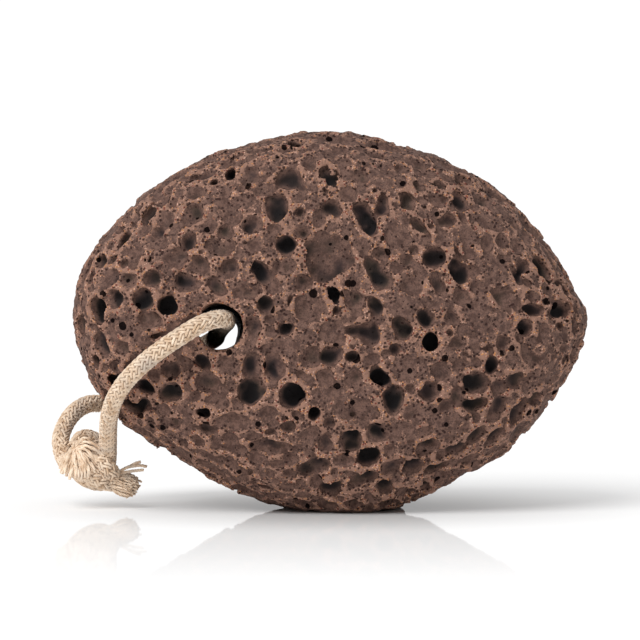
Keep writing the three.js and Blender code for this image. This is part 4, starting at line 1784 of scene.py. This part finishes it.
    def left_end(self) -> bpy.types.Object:
        """Makes the left frayed end: a fan of yarns laid over the knot's front.

        Returns:
            The finished piece.
        """
        rng = self.rng
        root = np.array(self.fan_root)
        lines = []
        for i in range(self.fan_yarns):
            share = (i + rng.uniform(0.0, 0.8)) / self.fan_yarns
            angle = math.radians(self.fan_sweep[0] + self.fan_sweep[1] * share)
            length = 4.6 + 1.5 * share + rng.uniform(-0.5, 0.6)
            tip = root + np.array([math.cos(angle) * length, -1.5 - 1.1 * math.sin(
                math.pi * share) + rng.uniform(-0.6, 0.4), math.sin(angle) * length])
            start = root + rng.normal(0.0, 0.3, 3) + np.array([0.3 * share, 0.5, 0.2])
            bow = np.array([0.0, -0.9, 0.45]) + rng.normal(0.0, 0.14, 3)
            lines.append(self.yarn_line(start, tip, bow, 0.07))
        for tip, bow in self.curls:
            lines.append(self.yarn_line(root + rng.normal(0.0, 0.2, 3), np.array(tip),
                                        np.array(bow), 0.06))
        return self.dress(self.tree.spin("frayed_left", lines, self.fat_ply), "frayed_end_left")

    def right_end(self) -> bpy.types.Object:
        """Makes the right frayed end: a brush that flares out on the surface.

        Returns:
            The finished piece.
        """
        rng = self.rng
        x, y, z = self.brush_root
        lines = []
        for i in range(self.brush_yarns):
            ring = math.sqrt((i + 0.5) / self.brush_yarns)
            side = math.cos(i * GOLDEN_ANGLE)
            rise = math.sin(i * GOLDEN_ANGLE)
            root = np.array([x, y + 1.5 * ring * side, z + 1.5 * ring * rise])
            tip = np.array([-35.0 - 2.0 * ring * ring + rng.uniform(-0.6, 0.3),
                            -1.2 + 2.7 * ring * side, 4.4 + 2.3 * ring * rise - 0.3 * ring])
            bow = np.array([0.0, 0.3 * side, 0.3 * rise - 0.1])
            lines.append(self.yarn_line(root, tip, bow, 0.09))
        brush = self.tree.spin("frayed_right", lines, self.fine_ply)
        singles = [
            self.yarn_line(np.array(self.thread_root), np.array(tip), np.array(bow), 0.05)
            for tip, bow in self.threads
        ]
        threads = self.tree.spin("threads", singles, self.ply)
        return self.dress(joined([brush, threads]), "frayed_end_right")

    def build(self) -> bpy.types.Object:
        """Returns:
            The cord's own piece.
        """
        line = smooth_line(self.route, 0.4)
        cord = self.dress(self.tree.spin("braided_cord", [line], self.braid), "cord")
        ends = [self.knot(), self.left_end(), self.right_end()]
        return cord


# --------------------------------------------------------------------- studio


@dataclass
class Studio:
    """The pale floor, the white surround and the soft light.

    Sizes are in millimetres.

    Attributes:
        floor_half: Half the floor's width.
        floor_white: How much light the floor throws back.
        floor_glow: How strongly it glows away from the stone; round the stone the glow gives way to
            a painted shadow.
        floor_gloss: The glossy share just in front of the stone.
        floor_blur: The roughness of its reflection.
        shaded: The half width and half depth of the painted shadow round the stone.
        shade_edge: Where in that painted shadow the glow begins and is full, as shares.
        gloss_fade: How far ahead the gloss is gone, and where it is full.
        surround_radius: The dome's radius.
        surround_glow: How strongly the dome glows.
        sky: The strength of the even sky.
        sun: The strength of the sun.
        sun_spread: The sun's width, in degrees.
        sun_way: The direction in which the sun shines.
    """

    floor_half: float = 30000.0
    floor_white: float = 0.8
    floor_glow: float = 0.44
    floor_gloss: float = 0.36
    floor_blur: float = 0.035
    shaded: Pair = (130.0, 100.0)
    shade_edge: Pair = (0.12, 0.55)
    gloss_fade: Pair = (-310.0, -20.0)
    surround_radius: float = 8000.0
    surround_glow: float = 1.08
    sky: float = 0.3
    sun: float = 2.5
    sun_spread: float = 36.0
    sun_way: Triple = (0.62, 0.8, -1.1)

    def bare(self, name: str) -> tuple[bpy.types.Material, NodeBench, bpy.types.NodeSocket]:
        """Starts a material with nothing but its output.

        Args:
            name: The material's name.

        Returns:
            The material, a bench on its tree, and the socket for its surface.
        """
        material, bench, shader = started(name)
        bench.tree.nodes.remove(shader)
        return material, bench, bench.tree.nodes["Material Output"].inputs["Surface"]

    def glow(self, bench: NodeBench, across: Value, ahead: Value) -> bpy.types.NodeSocket:
        """Works out the floor's glow, which fades out round the stone as a painted shadow.

        Args:
            bench: The floor's tree.
            across: The place from side to side.
            ahead: The place from front to back.

        Returns:
            The strength.
        """
        squares = [
            bench.math("POWER", bench.math("MULTIPLY", side, 1.0 / (half * MM)), 2.0)
            for side, half in zip((across, ahead), self.shaded)
        ]
        gap = bench.math("SQRT", bench.math("ADD", *squares))
        return bench.ramp(gap, *self.shade_edge, 0.0, self.floor_glow)

    def floor(self) -> None:
        """Makes the glossy pale floor."""
        half = self.floor_half * MM
        corners = np.array([(-half, -half, 0.0), (half, -half, 0.0), (half, half, 0.0),
                            (-half, half, 0.0)])
        material, bench, surface = self.bare("pale_floor")
        matt = bench.add("ShaderNodeBsdfDiffuse", {"Color": (*[self.floor_white] * 3, 1.0)})
        apart = bench.add("ShaderNodeSeparateXYZ", {"Vector": bench.place()})
        ahead = apart.outputs["Y"]
        # The glow fades out round the stone: a painted shadow on the floor.
        glow = bench.add("ShaderNodeEmission", {
            "Strength": self.glow(bench, apart.outputs["X"], ahead)})
        pale = bench.add("ShaderNodeAddShader", {0: matt.outputs[0], 1: glow.outputs[0]})
        gloss = bench.add("ShaderNodeBsdfGlossy", {"Roughness": self.floor_blur})
        near = bench.ramp(ahead, self.gloss_fade[0] * MM, self.gloss_fade[1] * MM)
        share = bench.math("MULTIPLY", bench.math("POWER", near, 3.0), self.floor_gloss)
        both = bench.add("ShaderNodeMixShader", {
            0: share, 1: pale.outputs[0], 2: gloss.outputs[0]})
        bench.feed(surface, both.outputs[0])
        new_piece("floor", mesh_from(corners, np.array([[0, 1, 2, 3]])), material)

    def surround(self) -> None:
        """Makes the white dome that is seen behind the stone and lights nothing."""
        shell = bmesh.new()
        bmesh.ops.create_uvsphere(shell, u_segments=48, v_segments=24,
                                  radius=self.surround_radius * MM)
        mesh = bpy.data.meshes.new("surround")
        shell.to_mesh(mesh)
        shell.free()
        material, bench, surface = self.bare("white_surround")
        glow = bench.add("ShaderNodeEmission", {"Strength": self.surround_glow})
        bench.feed(surface, glow.outputs[0])
        dome = new_piece("surround", mesh, material)
        dome.visible_diffuse = False
        dome.visible_shadow = False
        dome.visible_transmission = False

    def lights(self) -> None:
        """Makes a broad soft sun from above the camera's left, and an even sky."""
        data = bpy.data.lights.new("soft_sun", "SUN")
        data.energy = self.sun
        data.angle = math.radians(self.sun_spread)
        sun = bpy.data.objects.new("soft_sun", data)
        sun.rotation_euler = Vector(self.sun_way).to_track_quat("-Z", "Y").to_euler()
        bpy.context.scene.collection.objects.link(sun)
        world = bpy.data.worlds.new("even_sky")
        world.use_nodes = True
        background = world.node_tree.nodes["Background"]
        background.inputs["Color"].default_value = (1.0, 1.0, 1.0, 1.0)
        background.inputs["Strength"].default_value = self.sky
        bpy.context.scene.world = world

    def build(self) -> None:
        """Makes the whole studio."""
        self.floor()
        self.surround()
        self.lights()
        bpy.context.scene.view_settings.view_transform = "Standard"


# ----------------------------------------------------------------------- main


def main() -> None:
    """Builds every piece in order and reports it."""
    logging.basicConfig(level=logging.INFO, format="%(name)s: %(message)s")
    camera = StudioCamera()
    camera.build()
    CottonCord().build()
    LavaStone(camera=camera).build()
    Studio().build()


if __name__ == "__main__":
    main()
